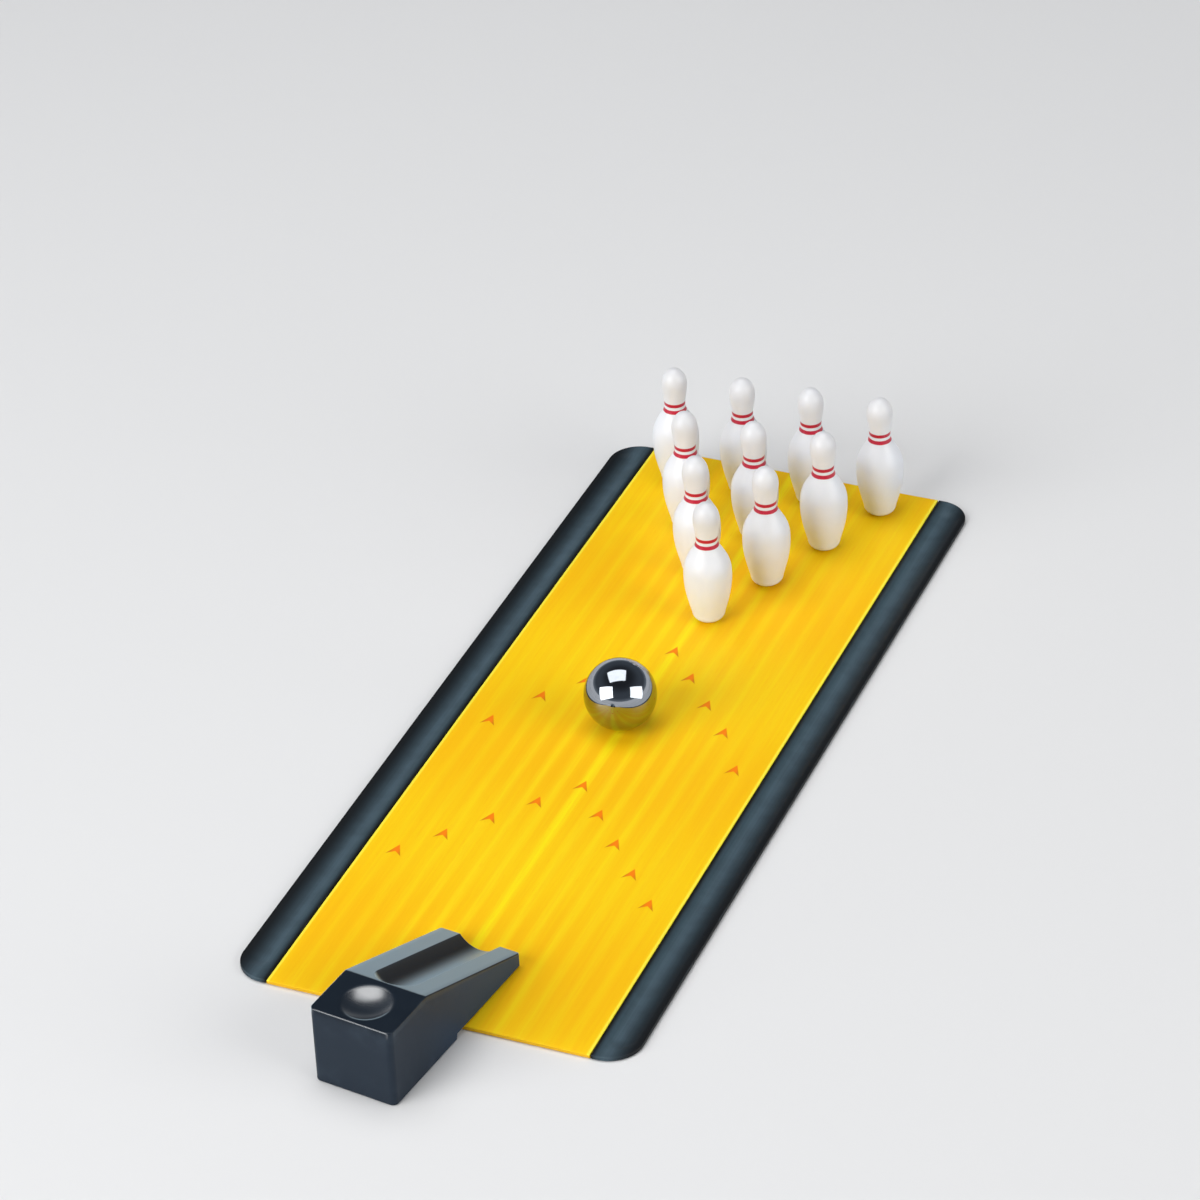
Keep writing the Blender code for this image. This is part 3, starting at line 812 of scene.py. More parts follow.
@dataclass(frozen=True)
class PinPaint(Dressing):
    """Satin white moulded pins with painted light, cooler low down and greyer at the head, and two crimson
    bands painted round the neck.
    """

    name = "pin_paint"
    white: Colour = (0.815, 0.830, 0.865)
    shade: Colour = (0.775, 0.790, 0.825)
    # Painted shade: the head is greyer
    painted_head_shade: Colour = (0.730, 0.730, 0.745)
    # Painted light: bluer low down, against the yellow light the lane throws on the pins
    painted_cool_skirt: Colour = (0.815, 0.870, 0.970)
    band: Colour = shown(192, 10, 48)
    band_thin: Colour = shown(208, 38, 74)
    foot: Colour = (0.62, 0.62, 0.63)
    painted_head_shade_span: Span = (28.5 * MM, 34.0 * MM, 0.0, 1.0)
    painted_cool_skirt_span: Span = (0.0, 26.0 * MM, 1.0, 0.0)
    foot_span: Span = (0.0, 0.7 * MM, 0.6, 0.0)
    shade_veil: Span = (0.40, 0.75, 0.0, 0.35)
    thin_veil: Span = (0.45, 0.80, 0.0, 0.45)
    line_share: float = 0.10
    smudge_rough: float = 0.05
    upper_band: float = 27.0 * MM
    spacing: float = 2.0 * MM
    width: float = 1.1 * MM
    softness: float = 0.07 * MM
    paint_thickness: float = 0.03 * MM
    wobble: float = 0.10 * MM
    wobble_scale: float = 900.0
    marks_size: float = 7.0 * MM
    skin: Skin = Skin(0.45 * MM, 0.33, 0.12, 0.004 * MM)

    def lay(self, finish: Finish) -> None:
        """Lays the white, its painted cool skirt and painted grey head shade, and two raised bands with a
        slightly uneven edge.

        Args:
            finish: The material being made.
        """
        _, height, _ = finish.add("ShaderNodeUVMap", uv_map=TURNING_MAP).parts()
        skin = finish.moulded(self.skin)
        _, hairlines, rough = finish.handled(self.marks_size, skin["Roughness"], self.smudge_rough)
        wobble = (finish.place.noise(self.wobble_scale, 2.0) - 0.5) * self.wobble
        off = abs(height + wobble - (self.upper_band - self.spacing / 2))
        low, high = self.width / 2 - self.softness, self.width / 2 + self.softness
        band = abs(off - self.spacing / 2).span(low, high, 1.0, 0.0)
        # Painted light: bluer low down against the lane's yellow bounce, and greyer at the head as painted
        # shade
        colour = finish.veil(self.white, self.painted_cool_skirt, height, self.painted_cool_skirt_span)
        colour = finish.veil(colour, self.painted_head_shade, height, self.painted_head_shade_span)
        colour = finish.veil(colour, self.shade, skin["Tint"], self.shade_veil)
        colour = finish.mix(hairlines * self.line_share, colour, self.shade)
        paint = finish.veil(self.band, self.band_thin, skin["Tint"], self.thin_veil)
        colour = finish.mix(band, colour, paint)
        colour = finish.veil(colour, self.foot, height, self.foot_span)
        bump = {"Strength": 1.0, "Distance": self.paint_thickness, "Height": band, "Normal": skin["Normal"]}
        finish.set(Base_Color=colour, Roughness=rough, Normal=finish.add("ShaderNodeBump", bump))
        finish.set(Specular_IOR_Level=0.5, Subsurface_Weight=0.06)
        finish.set(Subsurface_Radius=(1.0, 0.8, 0.6), Subsurface_Scale=1.2 * MM)


@dataclass(frozen=True)
class StagePaint(Dressing):
    """Plain pale paint for the floor and the low wall round it, even in brightness far from the set."""

    name = "stage_paint"
    base: Colour = (0.80, 0.80, 0.80)
    tint: Colour = (0.78, 0.78, 0.785)
    far: Colour = (0.90, 0.90, 0.91)
    far_start: float = 0.7
    far_end: float = 1.6
    cloud_scale: float = 1.2

    def lay(self, finish: Finish) -> None:
        """Lays matt paint, and a glow that only direct looks and mirrors see, away from the set.

        Args:
            finish: The material being made.
        """
        cloud = finish.place.noise(self.cloud_scale, 2.0)
        finish.set(Base_Color=finish.mix(cloud, self.base, self.tint), Roughness=0.9, Specular_IOR_Level=0.1)
        ray = finish.outputs(finish.node("ShaderNodeLightPath"))
        seen = ray["Is Camera Ray"].math("MAXIMUM", ray["Is Glossy Ray"])
        seen = seen.math("MAXIMUM", ray["Is Transmission Ray"])
        distance = finish.add("ShaderNodeVectorMath", {0: finish.place}, "Value", operation="LENGTH")
        share = seen * distance.span(self.far_start, self.far_end)
        glow = finish.add("ShaderNodeEmission", {"Color": self.far, "Strength": 1.0})
        mixed = finish.add("ShaderNodeMixShader", {0: share, 1: finish.lit, 2: glow})
        finish.feed(finish.output.inputs["Surface"], mixed)


# The set's pieces


@dataclass
class Lane:
    """The lane's deck, with a rebate under each long edge for the gutters' ledges."""

    half_width: float = 44.2 * MM
    half_length: float = 133.7 * MM
    thickness: float = 1.2 * MM
    edge_round: float = 0.20 * MM
    rebate_width: float = 4.3 * MM
    rebate_height: float = 0.7 * MM
    rebate_half_length: float = 128.0 * MM
    wall_slant: float = 0.04 * MM
    rounding_steps: int = 5

    def lines(self, half: float, inner: list[float]) -> Array:
        """Grid lines on both sides of the middle: dense on the rounded edge, and at given distances."""
        one_side = np.concatenate([half - edge_insets(self.edge_round, self.rounding_steps), inner])
        return np.unique(np.concatenate([-one_side, one_side]))

    def mesh(self) -> bpy.types.Mesh:
        """The board: flat, with rounded edges and a stopped rebate under each long edge.

        A point's height falls by the rounding's drop at its distance from the outline, and the underside
        rises by the rebate's height near the long edges, up to where the rebate stops.

        Returns:
            The closed mesh.
        """
        rebate_x, stop = self.half_width - self.rebate_width, self.rebate_half_length
        across = self.lines(self.half_width, [0.0, 0.5 * rebate_x, rebate_x, rebate_x + self.wall_slant])
        along = self.lines(self.half_length, [stop - self.wall_slant, stop, 0.5 * self.half_length, 0.0])
        x, y = np.meshgrid(across, along)
        inset = np.minimum(self.half_width - np.abs(x), self.half_length - np.abs(y))
        drop = edge_drop(inset, self.edge_round)
        over = np.clip((np.abs(x) - rebate_x) / self.wall_slant, 0.0, 1.0)
        within = np.clip((stop - np.abs(y)) / self.wall_slant, 0.0, 1.0)
        top = np.stack([x, y, self.thickness - drop], -1)
        bottom = np.stack([x, y, self.rebate_height * np.minimum(over, within) + drop], -1)
        edge = np.clip(1.0 - inset / self.edge_round, 0.0, 1.0)
        return two_sheet_mesh("lane_board", top, bottom, {EDGE_NAME: (edge, edge)})


class Side(Enum):
    """Which of the lane's long sides a gutter lies on."""

    LEFT = -1
    RIGHT = 1


@dataclass
class Gutter:
    """A gutter strip: rounded outer corners, a shallow round channel and a ledge under the deck."""

    side: Side
    inner: float = 44.5 * MM
    outer: float = 55.0 * MM
    half_length: float = 133.7 * MM
    thickness: float = 1.2 * MM
    corner: float = 9.0 * MM
    rim: float = 1.5 * MM
    channel_radius: float = 10.3 * MM
    channel_setback: float = 5.0 * MM
    channel_end: float = 5.0 * MM
    edge_round: float = 0.20 * MM
    rim_round: float = 0.14 * MM
    end_round: float = 0.50 * MM
    ledge_edge: float = 40.2 * MM
    ledge_thickness: float = 0.4 * MM
    ledge_half_length: float = 127.7 * MM
    ledge_places: tuple[float, ...] = (0.04, 0.5, 0.985, 1.0)
    ledge_sink: float = 0.3
    outer_places: tuple[float, ...] = (0.12, 0.5, 0.88)
    inner_places: tuple[float, ...] = (0.12, 0.5, 0.94)
    wall_slant: float = 0.04 * MM
    rounding_steps: int = 5
    corner_steps: int = 28
    end_steps: int = 34
    across_steps: int = 44
    least_step: float = 0.004 * MM

    def outline(self, along: Array) -> Array:
        """Distance from the lane's middle to the strip's outer edge, at places along it.

        It is straight, and then a quarter circle at each end.

        Args:
            along: Places along the strip.

        Returns:
            The distance at each place.
        """
        beyond = np.maximum(np.abs(along) - (self.half_length - self.corner), 0.0)
        bend = np.sqrt(np.maximum(self.corner**2 - np.minimum(beyond, self.corner) ** 2, 0.0))
        return self.outer - self.corner + bend

    def inset(self, x: Array, y: Array, inner: Array) -> Array:
        """Distance in from the nearest of the strip's four edges, its outer corners rounded.

        Args:
            x: Distance from the lane's middle.
            y: Place along the strip.
            inner: The inner edge's distance from the lane's middle.

        Returns:
            The distance at each point.
        """
        beyond_x, beyond_y = x - (self.outer - self.corner), np.abs(y) - (self.half_length - self.corner)
        in_corner = (beyond_x > 0) & (beyond_y > 0)
        straight = np.minimum(self.outer - x, self.half_length - np.abs(y))
        outer = np.where(in_corner, self.corner - np.hypot(beyond_x, beyond_y), straight)
        return np.maximum(np.minimum(outer, x - inner), 0.0)

    def channel(self, x: Array, y: Array) -> Array:
        """Depth of the channel below the top face, with a fillet at its rim that widens round its ends.

        It is the lower side of a round bar along the strip that ends in half spheres, so the depth follows
        from the distance to the bar's axis between the ends, and to the end's middle beyond it.

        Args:
            x: Distance from the lane's middle.
            y: Place along the strip.

        Returns:
            The depth at each point.
        """
        middle = (self.inner + self.outer) / 2
        half_chord = (self.outer - self.inner) / 2 - self.rim
        lift = math.sqrt(self.channel_radius**2 - half_chord**2)
        beyond = np.maximum(np.abs(y) - (self.half_length - self.channel_setback - half_chord), 0.0)
        round_off = np.maximum(self.channel_radius**2 - (x - middle) ** 2 - beyond**2, 0.0)
        width = self.rim_round + (self.end_round - self.rim_round) * np.clip(beyond / half_chord, 0.0, 1.0)
        return -blended_least(np.zeros_like(round_off), lift - np.sqrt(round_off), width)

    def stations(self) -> Array:
        """Places along the strip: dense at its rounded ends, with a pair where the ledge stops.

        Returns:
            The sorted places.
        """
        centre = self.half_length - self.corner
        bend = centre + self.corner * np.sin(np.linspace(0.0, QUARTER_TURN, self.corner_steps + 1))
        ends = self.half_length - edge_insets(self.edge_round, self.rounding_steps)
        ledge = [self.ledge_half_length - self.wall_slant, self.ledge_half_length]
        spread = np.linspace(-0.1, 1.0, self.end_steps)
        round_end = self.half_length - self.channel_setback - self.channel_end * spread
        half = np.concatenate([bend, ends, ledge, round_end, [0.25 * centre, 0.5 * centre, 0.75 * centre]])
        return merged_stations([-half, half], self.least_step)

    def across(self, start: Array, outer: Array) -> Array:
        """Places from an inner edge to the outer one, dense on both rounded edges.

        Args:
            start: The inner edge at each station.
            outer: The outer edge at each station.

        Returns:
            One row of places for each station.
        """
        insets = edge_insets(self.edge_round, self.rounding_steps)[None, :]
        shares = np.linspace(0.0, 1.0, self.across_steps)[None, 1:-1]
        low, high = start + self.edge_round, outer - self.edge_round
        return np.concatenate([start + insets, low + (high - low) * shares, outer - insets[:, ::-1]], 1)

    def mesh(self) -> bpy.types.Mesh:
        """The strip as one closed section carried along the lane.

        The section runs along the underside from the ledge to the outer edge, up the outer wall, back over
        the channel, down the inner wall, and out along the top of the ledge. Where the ledge has stopped,
        its part of the section lies flat against the inner wall.

        Returns:
            The closed mesh.
        """

        def wall(start: Array, end: Array, fractions: tuple[float, ...]) -> Array:
            """Places part of the way from one column to another."""
            return np.concatenate([start + (end - start) * share for share in fractions], 1)

        along = self.stations()[:, None]
        held = (np.abs(along) < self.ledge_half_length - 0.5 * self.wall_slant).astype(float)
        outer, inner = self.outline(along), np.full_like(along, self.inner)
        foot = self.inner + (self.ledge_edge - self.inner) * held
        under_x, over_x = self.across(foot, outer), self.across(inner, outer)[:, ::-1]
        under_inset, over_inset = self.inset(under_x, along, foot), self.inset(over_x, along, inner)
        under_z = edge_drop(under_inset, self.edge_round)
        over_z = self.thickness - self.channel(over_x, along) - edge_drop(over_inset, self.edge_round)
        outer_z = wall(under_z[:, -1:], over_z[:, :1], self.outer_places)
        outer_x = np.repeat(outer, outer_z.shape[1], axis=1)
        ledge_top = np.full_like(along, self.ledge_thickness)
        inner_z = np.concatenate([wall(over_z[:, -1:], ledge_top, self.inner_places), ledge_top], 1)
        inner_x = np.full_like(inner_z, self.inner)
        shelf, bend = np.array([self.ledge_places]), self.ledge_places[-2]
        shelf_x = self.inner + (self.ledge_edge - self.inner) * held * shelf
        flat = self.ledge_thickness - self.wall_slant * np.clip((shelf - bend) / (1.0 - bend), 0.0, 1.0)
        folded = self.ledge_thickness * (1.0 - self.ledge_sink * shelf)
        shelf_z = flat * held + folded * (1.0 - held)

        section_x = np.concatenate([under_x, outer_x, over_x, inner_x, shelf_x], 1)
        section_z = np.concatenate([under_z, outer_z, over_z, inner_z, shelf_z], 1)
        plain = [np.full_like(part, self.edge_round) for part in (outer_z, inner_z, shelf_z)]
        near = np.concatenate([under_inset, plain[0], over_inset, *plain[1:]], 1)
        edge = np.clip(1.0 - near / self.edge_round, 0.0, 1.0)
        count, size = section_x.shape
        points = np.stack([section_x * self.side.value, np.repeat(along, size, axis=1), section_z], -1)
        rings = np.arange(count * size).reshape(count, size)
        quads = np.concatenate([ring_quads(first, second) for first, second in zip(rings, rings[1:])])
        faces = quads.tolist() + [rings[0, ::-1].tolist(), rings[-1].tolist()]
        name = f"gutter_strip_{self.side.name.lower()}"
        return outward(mesh_from(name, points.reshape(-1, 3), faces, {EDGE_NAME: edge.ravel()}))


@dataclass
class Ramp:
    """The launching ramp: a level deck with a ball seat, a slope with a round channel, hollow beneath."""

    half_width: float = 11.7 * MM
    length: float = 60.4 * MM
    height: float = 22.6 * MM
    deck_length: float = 16.7 * MM
    lane_height: float = 1.2 * MM
    rest_gap: float = 0.3 * MM
    lip_height: float = 4.2 * MM
    wall: float = 1.8 * MM
    edge_round: float = 0.32 * MM
    lip_round: float = 0.22 * MM
    back_corner: float = 1.6 * MM
    front_corner: float = 0.7 * MM
    crest_round: float = 0.25 * MM
    seat_rim: float = 6.8 * MM
    seat_radius: float = 14.0 * MM
    channel_width: float = 11.8 * MM
    channel_depth: float = 3.0 * MM
    channel_land: float = 0.5 * MM
    shade_depth: float = 0.8 * MM
    fillet: float = 0.22 * MM
    fillet_reach: float = 0.45 * MM
    seat_fillet: float = 0.35 * MM
    seat_reach: float = 0.80 * MM
    least_crease: float = 1.0 * MM
    crease_share: float = 0.85
    hollow_least: float = 3.0 * MM
    draft: float = 0.25 * MM
    heel_reach: float = 20.787 * MM
    heel_slant: float = 0.25 * MM
    edge_polish: float = 0.8
    seat_polish: float = 0.3
    least_step: float = 0.006 * MM
    crest_reach: tuple[float, float] = (-2.0, 3.0)
    seat_points: int = 57
    rim_points: int = 16
    crest_points: int = 11
    start_points: int = 25
    slope_points: int = 16
    floor_points: int = 17
    crease_points: int = 13
    shelf_points: int = 10
    back_corner_steps: int = 8
    front_corner_steps: int = 6
    back_round_steps: int = 6
    side_round_steps: int = 7
    lip_round_steps: int = 4
    pivot: tuple[float, float] = (-4.0 * MM, -157.0 * MM)
    heading: float = math.radians(-7.5)

    def __post_init__(self) -> None:
        """Works out the places and angles that follow from the sizes, measured from the seat's axis."""
        self.back, self.crest = -self.deck_length / 2, self.deck_length / 2
        self.lip = self.length - self.deck_length / 2
        drop = self.height - self.lane_height - self.lip_height
        self.slope = math.atan2(drop, self.lip - self.crest)
        self.seat_lift = math.sqrt(self.seat_radius**2 - self.seat_rim**2)
        self.bar_radius = ((self.channel_width / 2) ** 2 + self.channel_depth**2) / (2 * self.channel_depth)
        start, lift = self.channel_land + self.channel_width / 2, self.bar_radius - self.channel_depth
        self.channel_start = self.crest + start * math.cos(self.slope)
        self.bar_y = self.channel_start + lift * math.sin(self.slope)
        self.bar_z = self.height - start * math.sin(self.slope) + lift * math.cos(self.slope)
        self.ceiling = self.height - (self.seat_radius - self.seat_lift) - self.wall
        cover = (self.channel_depth + self.wall) / math.cos(self.slope)
        lowest = self.lane_height + self.rest_gap + self.hollow_least
        self.roof_start = self.crest + (self.height - cover - self.ceiling) / math.tan(self.slope)
        self.roof_end = self.roof_start + (self.ceiling - lowest) / math.tan(self.slope)

    def plain_top(self, y: Array) -> Array:
        """The level deck and the slope, with a small rounding at the crest between them."""
        run = ((y - self.crest) + np.sqrt((y - self.crest) ** 2 + self.crest_round**2)) / 2
        return self.height - run * math.tan(self.slope)

    def seat(self, x: Array, y: Array) -> Array:
        """Height of the seat: the lower half of a sphere somewhat larger than the ball."""
        below = np.sqrt(np.maximum(self.seat_radius**2 - x**2 - y**2, 0.0))
        return self.height + self.seat_lift - below

    def channel(self, x: Array, y: Array) -> Array:
        """Height of the channel: the lower side of a sloping bar with a round end.

        Along the bar the height follows from its circle square to the slope, and behind its start from a
        sphere of the same radius.

        Args:
            x: Distance from the middle plane.
            y: Distance in front of the seat's axis.

        Returns:
            The height of the cut at each point.
        """
        across = np.sqrt(np.maximum(self.bar_radius**2 - x**2, 0.0))
        offset = (y - self.bar_y) * math.sin(self.slope)
        bar = self.bar_z + (-across - offset) / math.cos(self.slope)
        ball = self.bar_z - np.sqrt(np.maximum(self.bar_radius**2 - x**2 - (y - self.bar_y) ** 2, 0.0))
        along = (y - self.bar_y) * math.cos(self.slope) - (bar - self.bar_z) * math.sin(self.slope)
        return np.where(along >= 0, bar, ball)

    def top(self, x: Array, y: Array) -> Array:
        """Height of the upper face, seat and channel included, before its outer edges are rounded.

        Args:
            x: Distance from the middle plane.
            y: Distance in front of the seat's axis.

        Returns:
            The lower of the plain top and what is cut into it, with a fillet between them.
        """
        cut = np.where(y < self.crest, self.seat(x, y), self.channel(x, y))
        width = np.where(y < self.crest, self.seat_fillet, self.fillet)
        return blended_least(self.plain_top(y), cut, width)

    def crease(self, y: Array) -> Array:
        """Half the width of the seat or channel at a place along the ramp, or a least width between them.

        Args:
            y: Distance in front of the seat's axis.

        Returns:
            The half width at each place: a circle's for the seat, and for the channel a circle's and then
            even.
        """
        seat = np.sqrt(np.maximum(self.seat_rim**2 - y**2, 0.0))
        behind = np.minimum((y - self.channel_start) / math.cos(self.slope), 0.0)
        channel = np.sqrt(np.maximum((self.channel_width / 2) ** 2 - behind**2, 0.0))
        return np.maximum(np.where(y < self.crest, seat, channel), self.least_crease)

    def outline(self, y: Array) -> Array:
        """Half the ramp's width at a place along it, with quarter circles at the back and at the lip.

        Args:
            y: Distance in front of the seat's axis.

        Returns:
            The half width at each place.
        """
        behind = np.clip(self.back + self.back_corner - y, 0.0, self.back_corner)
        ahead = np.clip(y - self.lip + self.front_corner, 0.0, self.front_corner)
        back = self.back_corner - np.sqrt(self.back_corner**2 - behind**2)
        front = self.front_corner - np.sqrt(self.front_corner**2 - ahead**2)
        return self.half_width - back - front

    def side_inset(self, x: Array, y: Array) -> Array:
        """Distance in from the sides and the back, round their corners.

        Args:
            x: Distance from the middle plane.
            y: Distance in front of the seat's axis.

        Returns:
            The distance at each point.
        """
        past_x = np.abs(x) - (self.half_width - self.back_corner)
        past_y = y - (self.back + self.back_corner)
        round_off = self.back_corner - np.hypot(past_x, past_y)
        straight = np.minimum(self.outline(y) - np.abs(x), y - self.back)
        return np.maximum(np.where((past_x > 0) & (past_y < 0), round_off, straight), 0.0)

    def hollow(self, x: Array, y: Array) -> Array:
        """Height of the underside: the rim that the ramp stands on, and the hollow with its drafted walls.

        The hollow's roof is level beneath the seat and then runs down along the slope.

        Args:
            x: Distance from the middle plane.
            y: Distance in front of the seat's axis.

        Returns:
            The height at each point.
        """
        roof = self.ceiling - np.maximum(y - self.roof_start, 0.0) * math.tan(self.slope)
        beside = (self.half_width - self.wall - np.abs(x)) / self.draft
        before = np.minimum((y - self.back - self.wall) / self.draft, (self.roof_end - y) / self.draft)
        inside = np.clip(np.minimum(beside, before), 0.0, 1.0)
        step = np.clip((y - self.heel_reach) / self.heel_slant, 0.0, 1.0)
        rim = (self.lane_height + self.rest_gap) * step
        return rim + (np.maximum(roof, rim) - rim) * inside

    def rows(self) -> Array:
        """Places along the ramp where its surface is worked out, dense wherever it bends.

        Returns:
            The sorted places.
        """
        first, start, last = self.back + self.wall, self.channel_start, self.roof_end
        bend = np.cos(np.linspace(0.0, QUARTER_TURN, self.start_points))
        channel_back = self.crest + self.channel_land * math.cos(self.slope)
        rim = self.seat_reach * np.linspace(-1.0, self.crease_share, self.rim_points)
        ledges = [first, first + self.draft, self.roof_start, last - self.draft, last]
        groups = [
            self.back + edge_insets(self.back_corner, self.back_corner_steps),
            self.back + edge_insets(self.edge_round, self.back_round_steps),
            -self.seat_rim * np.cos(np.linspace(0.0, math.pi, self.seat_points)),
            self.seat_rim + rim,
            -self.seat_rim - rim,
            self.crest + self.crest_round * np.linspace(*self.crest_reach, self.crest_points),
            start - (start - channel_back) * bend,
            np.linspace(start, self.lip - self.front_corner, self.slope_points),
            [*ledges, self.heel_reach, self.heel_reach + self.heel_slant, self.back, self.lip],
            self.lip - edge_insets(self.front_corner, self.front_corner_steps),
            self.lip - edge_insets(self.lip_round, self.lip_round_steps),
        ]
        return merged_stations(groups, self.least_step)

    def columns(self, y: Array) -> Array:
        """Places across each row.

        They gather at the crease of the seat or channel, at the hollow's wall and at the rounded side, and
        shrink with the outline at the corners.

        Args:
            y: The rows' places, as a column.

        Returns:
            One row of places for each place along.
        """
        crease, shelf = self.crease(y), self.half_width - self.wall
        near_seat = np.minimum(self.seat_reach, self.crease_share * crease)
        reach = np.where(y < self.crest, near_seat, self.fillet_reach)
        start = crease + reach
        outer = self.half_width - edge_insets(self.edge_round, self.side_round_steps)[::-1]
        half = [
            (crease - reach) * np.linspace(0.0, 1.0, self.floor_points)[None, :],
            crease + reach * np.linspace(-1.0, 1.0, self.crease_points)[None, 1:],
            start + (shelf - self.draft - start) * np.linspace(0.0, 1.0, self.shelf_points)[None, 1:],
            np.tile(np.array([shelf, *outer]), (len(y), 1)),
        ]
        one_side = np.concatenate(half, 1) * self.outline(y) / self.half_width
        return np.concatenate([-one_side[:, :0:-1], one_side], 1)

    def mesh(self) -> bpy.types.Mesh:
        """The ramp between its upper face and its underside, turned to its heading.

        The outer edges fall away by the rounding's drop, which is smaller at the thin lip. The seat is
        polished most in front, where the ball rolls out of it, and the back edge along its middle.

        Returns:
            The closed mesh.
        """
        y = self.rows()[:, None]
        x = self.columns(y)
        y = np.repeat(y, x.shape[1], axis=1)
        side, lip = self.side_inset(x, y), np.maximum(self.lip - y, 0.0)
        drop = np.maximum(edge_drop(side, self.edge_round), edge_drop(lip, self.lip_round))
        edge = np.clip(1.0 - np.minimum(side, lip) / self.edge_round, 0.0, 1.0)
        in_seat = np.clip((self.seat_rim - np.hypot(x, y)) / self.seat_reach, 0.0, 1.0)
        rolled = np.clip(0.5 + y / self.seat_rim, self.seat_polish, 1.0)
        back_edge = np.clip(1.0 - np.abs(2.0 * (y - self.back) / self.edge_round - 1.0), 0.0, 1.0)
        polish = np.maximum(in_seat * rolled, self.edge_polish * back_edge)
        # How far down the channel a point lies; the finish paints shade with it
        depth = np.where(y < self.crest, 0.0, self.plain_top(y) - self.top(x, y))
        sunk = np.clip(depth / self.shade_depth, 0.0, 1.0)
        upper = np.stack([x, y, self.top(x, y) - drop], -1)
        lower = np.stack([x, y, self.hollow(x, y) + drop], -1)
        none = np.zeros_like(edge)
        marks = {
            EDGE_NAME: (edge, edge),
            WALL_NAME: (none, np.ones_like(edge)),
            POLISH_NAME: (polish, none),
            SUNK_NAME: (sunk, none),
        }
        mesh = two_sheet_mesh("launching_ramp", upper, lower, marks)
        mesh.transform(Matrix.Translation((*self.pivot, 0.0)) @ Matrix.Rotation(self.heading, 4, "Z"))
        return mesh


@dataclass
class Ball:
    """The steel ball."""

    radius: float = 10.0 * MM
    centre: tuple[float, float, float] = (-0.7 * MM, -1.0 * MM, 11.5 * MM)
    rings: int = 96
    steps: int = 144

    def mesh(self) -> bpy.types.Mesh:
        """A half circle turned about the vertical axis through its ends.

        Returns:
            The closed mesh.
        """
        angle = np.linspace(0.0, math.pi, self.rings + 1)
        profile = np.stack([self.radius * np.sin(angle), self.radius * np.cos(angle)], -1)
        return turned_mesh("steel_ball", profile, self.steps, np.array(self.centre))


@dataclass
class Pin:
    """One pin's outline, worked out from a few heights and radii."""

    height: float = 38.0 * MM
    base_radius: float = 4.7 * MM
    base_round: float = 2.6 * MM
    belly_radius: float = 6.8 * MM
    belly_height: float = 14.4 * MM
    neck_radius: float = 3.05 * MM
    neck_height: float = 26.2 * MM
    head_radius: float = 3.75 * MM
    head_height: float = 32.9 * MM
    shoulder_power: float = 1.44
    steps: int = 96
    dome_steps: int = 18
    body_steps: int = 91
    foot_steps: int = 14

    def radius(self, height: Array) -> Array:
        """The radius at heights between the rounded foot and the head's widest point.

        Below the belly it is a quarter sine wave. From belly to neck and from neck to head it is half a
        cosine wave, and the first of these is drawn upwards by a power.

        Args:
            height: Heights above the foot.

        Returns:
            The radius at each height.
        """
        low = np.clip((height - self.base_round) / (self.belly_height - self.base_round), 0.0, 1.0)
        mid = np.clip((height - self.belly_height) / (self.neck_height - self.belly_height), 0.0, 1.0)
        high = np.clip((height - self.neck_height) / (self.head_height - self.neck_height), 0.0, 1.0)
        belly = self.base_radius + (self.belly_radius - self.base_radius) * np.sin(low * QUARTER_TURN)
        fall = (1.0 + np.cos(math.pi * mid**self.shoulder_power)) / 2
        shoulder = self.neck_radius + (self.belly_radius - self.neck_radius) * fall
        rise = (1.0 - np.cos(math.pi * high)) / 2
        neck = self.neck_radius + (self.head_radius - self.neck_radius) * rise
        above = np.where(height <= self.neck_height, shoulder, neck)
        return np.where(height <= self.belly_height, belly, above)

    def profile(self) -> Array:
        """The outline from the top of the head to the middle of the foot.

        The top is a quarter ellipse and the foot's edge a quarter circle.

        Returns:
            Rows of (radius, height).
        """
        over = np.linspace(0.0, QUARTER_TURN, self.dome_steps + 1)[:-1]
        dome = self.height - self.head_height
        top = np.stack([self.head_radius * np.sin(over), self.head_height + dome * np.cos(over)], -1)
        heights = np.linspace(self.head_height, self.base_round, self.body_steps + 1)
        body = np.stack([self.radius(heights), heights], -1)
        under = np.linspace(0.0, QUARTER_TURN, self.foot_steps + 1)[1:]
        inset, lift = self.base_round * (1.0 - np.cos(under)), self.base_round * (1.0 - np.sin(under))
        foot = np.stack([self.base_radius - inset, lift], -1)
        return np.concatenate([top, body, foot, [[foot[-1, 0] * 0.5, 0.0], [0.0, 0.0]]])

    def mesh(self, name: str, centre: Array) -> bpy.types.Mesh:
        """The pin's mesh, standing at a place."""
        return turned_mesh(name, self.profile(), self.steps, centre)


@dataclass
class Rack:
    """Ten pins in four rows that point at the player, a little turned."""

    rows: int = 4
    centre: tuple[float, float, float] = (0.7 * MM, 98.9 * MM, 1.5 * MM)
    centre_row: int = 2
    pitch: float = 20.6 * MM
    row_pitch: float = 21.9 * MM
    turn: float = math.radians(3.2)
    pin: Pin = field(default_factory=Pin)

    def places(self) -> list[Array]:
        """Where each pin stands, numbered from the head pin row by row.

        Returns:
            The places in order.
        """
        rotation, found = Matrix.Rotation(self.turn, 3, "Z"), []
        for row in range(self.rows):
            for column in range(row + 1):
                across, along = (column - row / 2) * self.pitch, (row - self.centre_row) * self.row_pitch
                found.append(np.array(Vector(self.centre) + rotation @ Vector((across, along, 0.0))))
        return found

    def meshes(self) -> list[bpy.types.Mesh]:
        """The ten pins' meshes in order."""
        return [self.pin.mesh(f"skittle_{number + 1}", place) for number, place in enumerate(self.places())]


# Stage, lights and camera


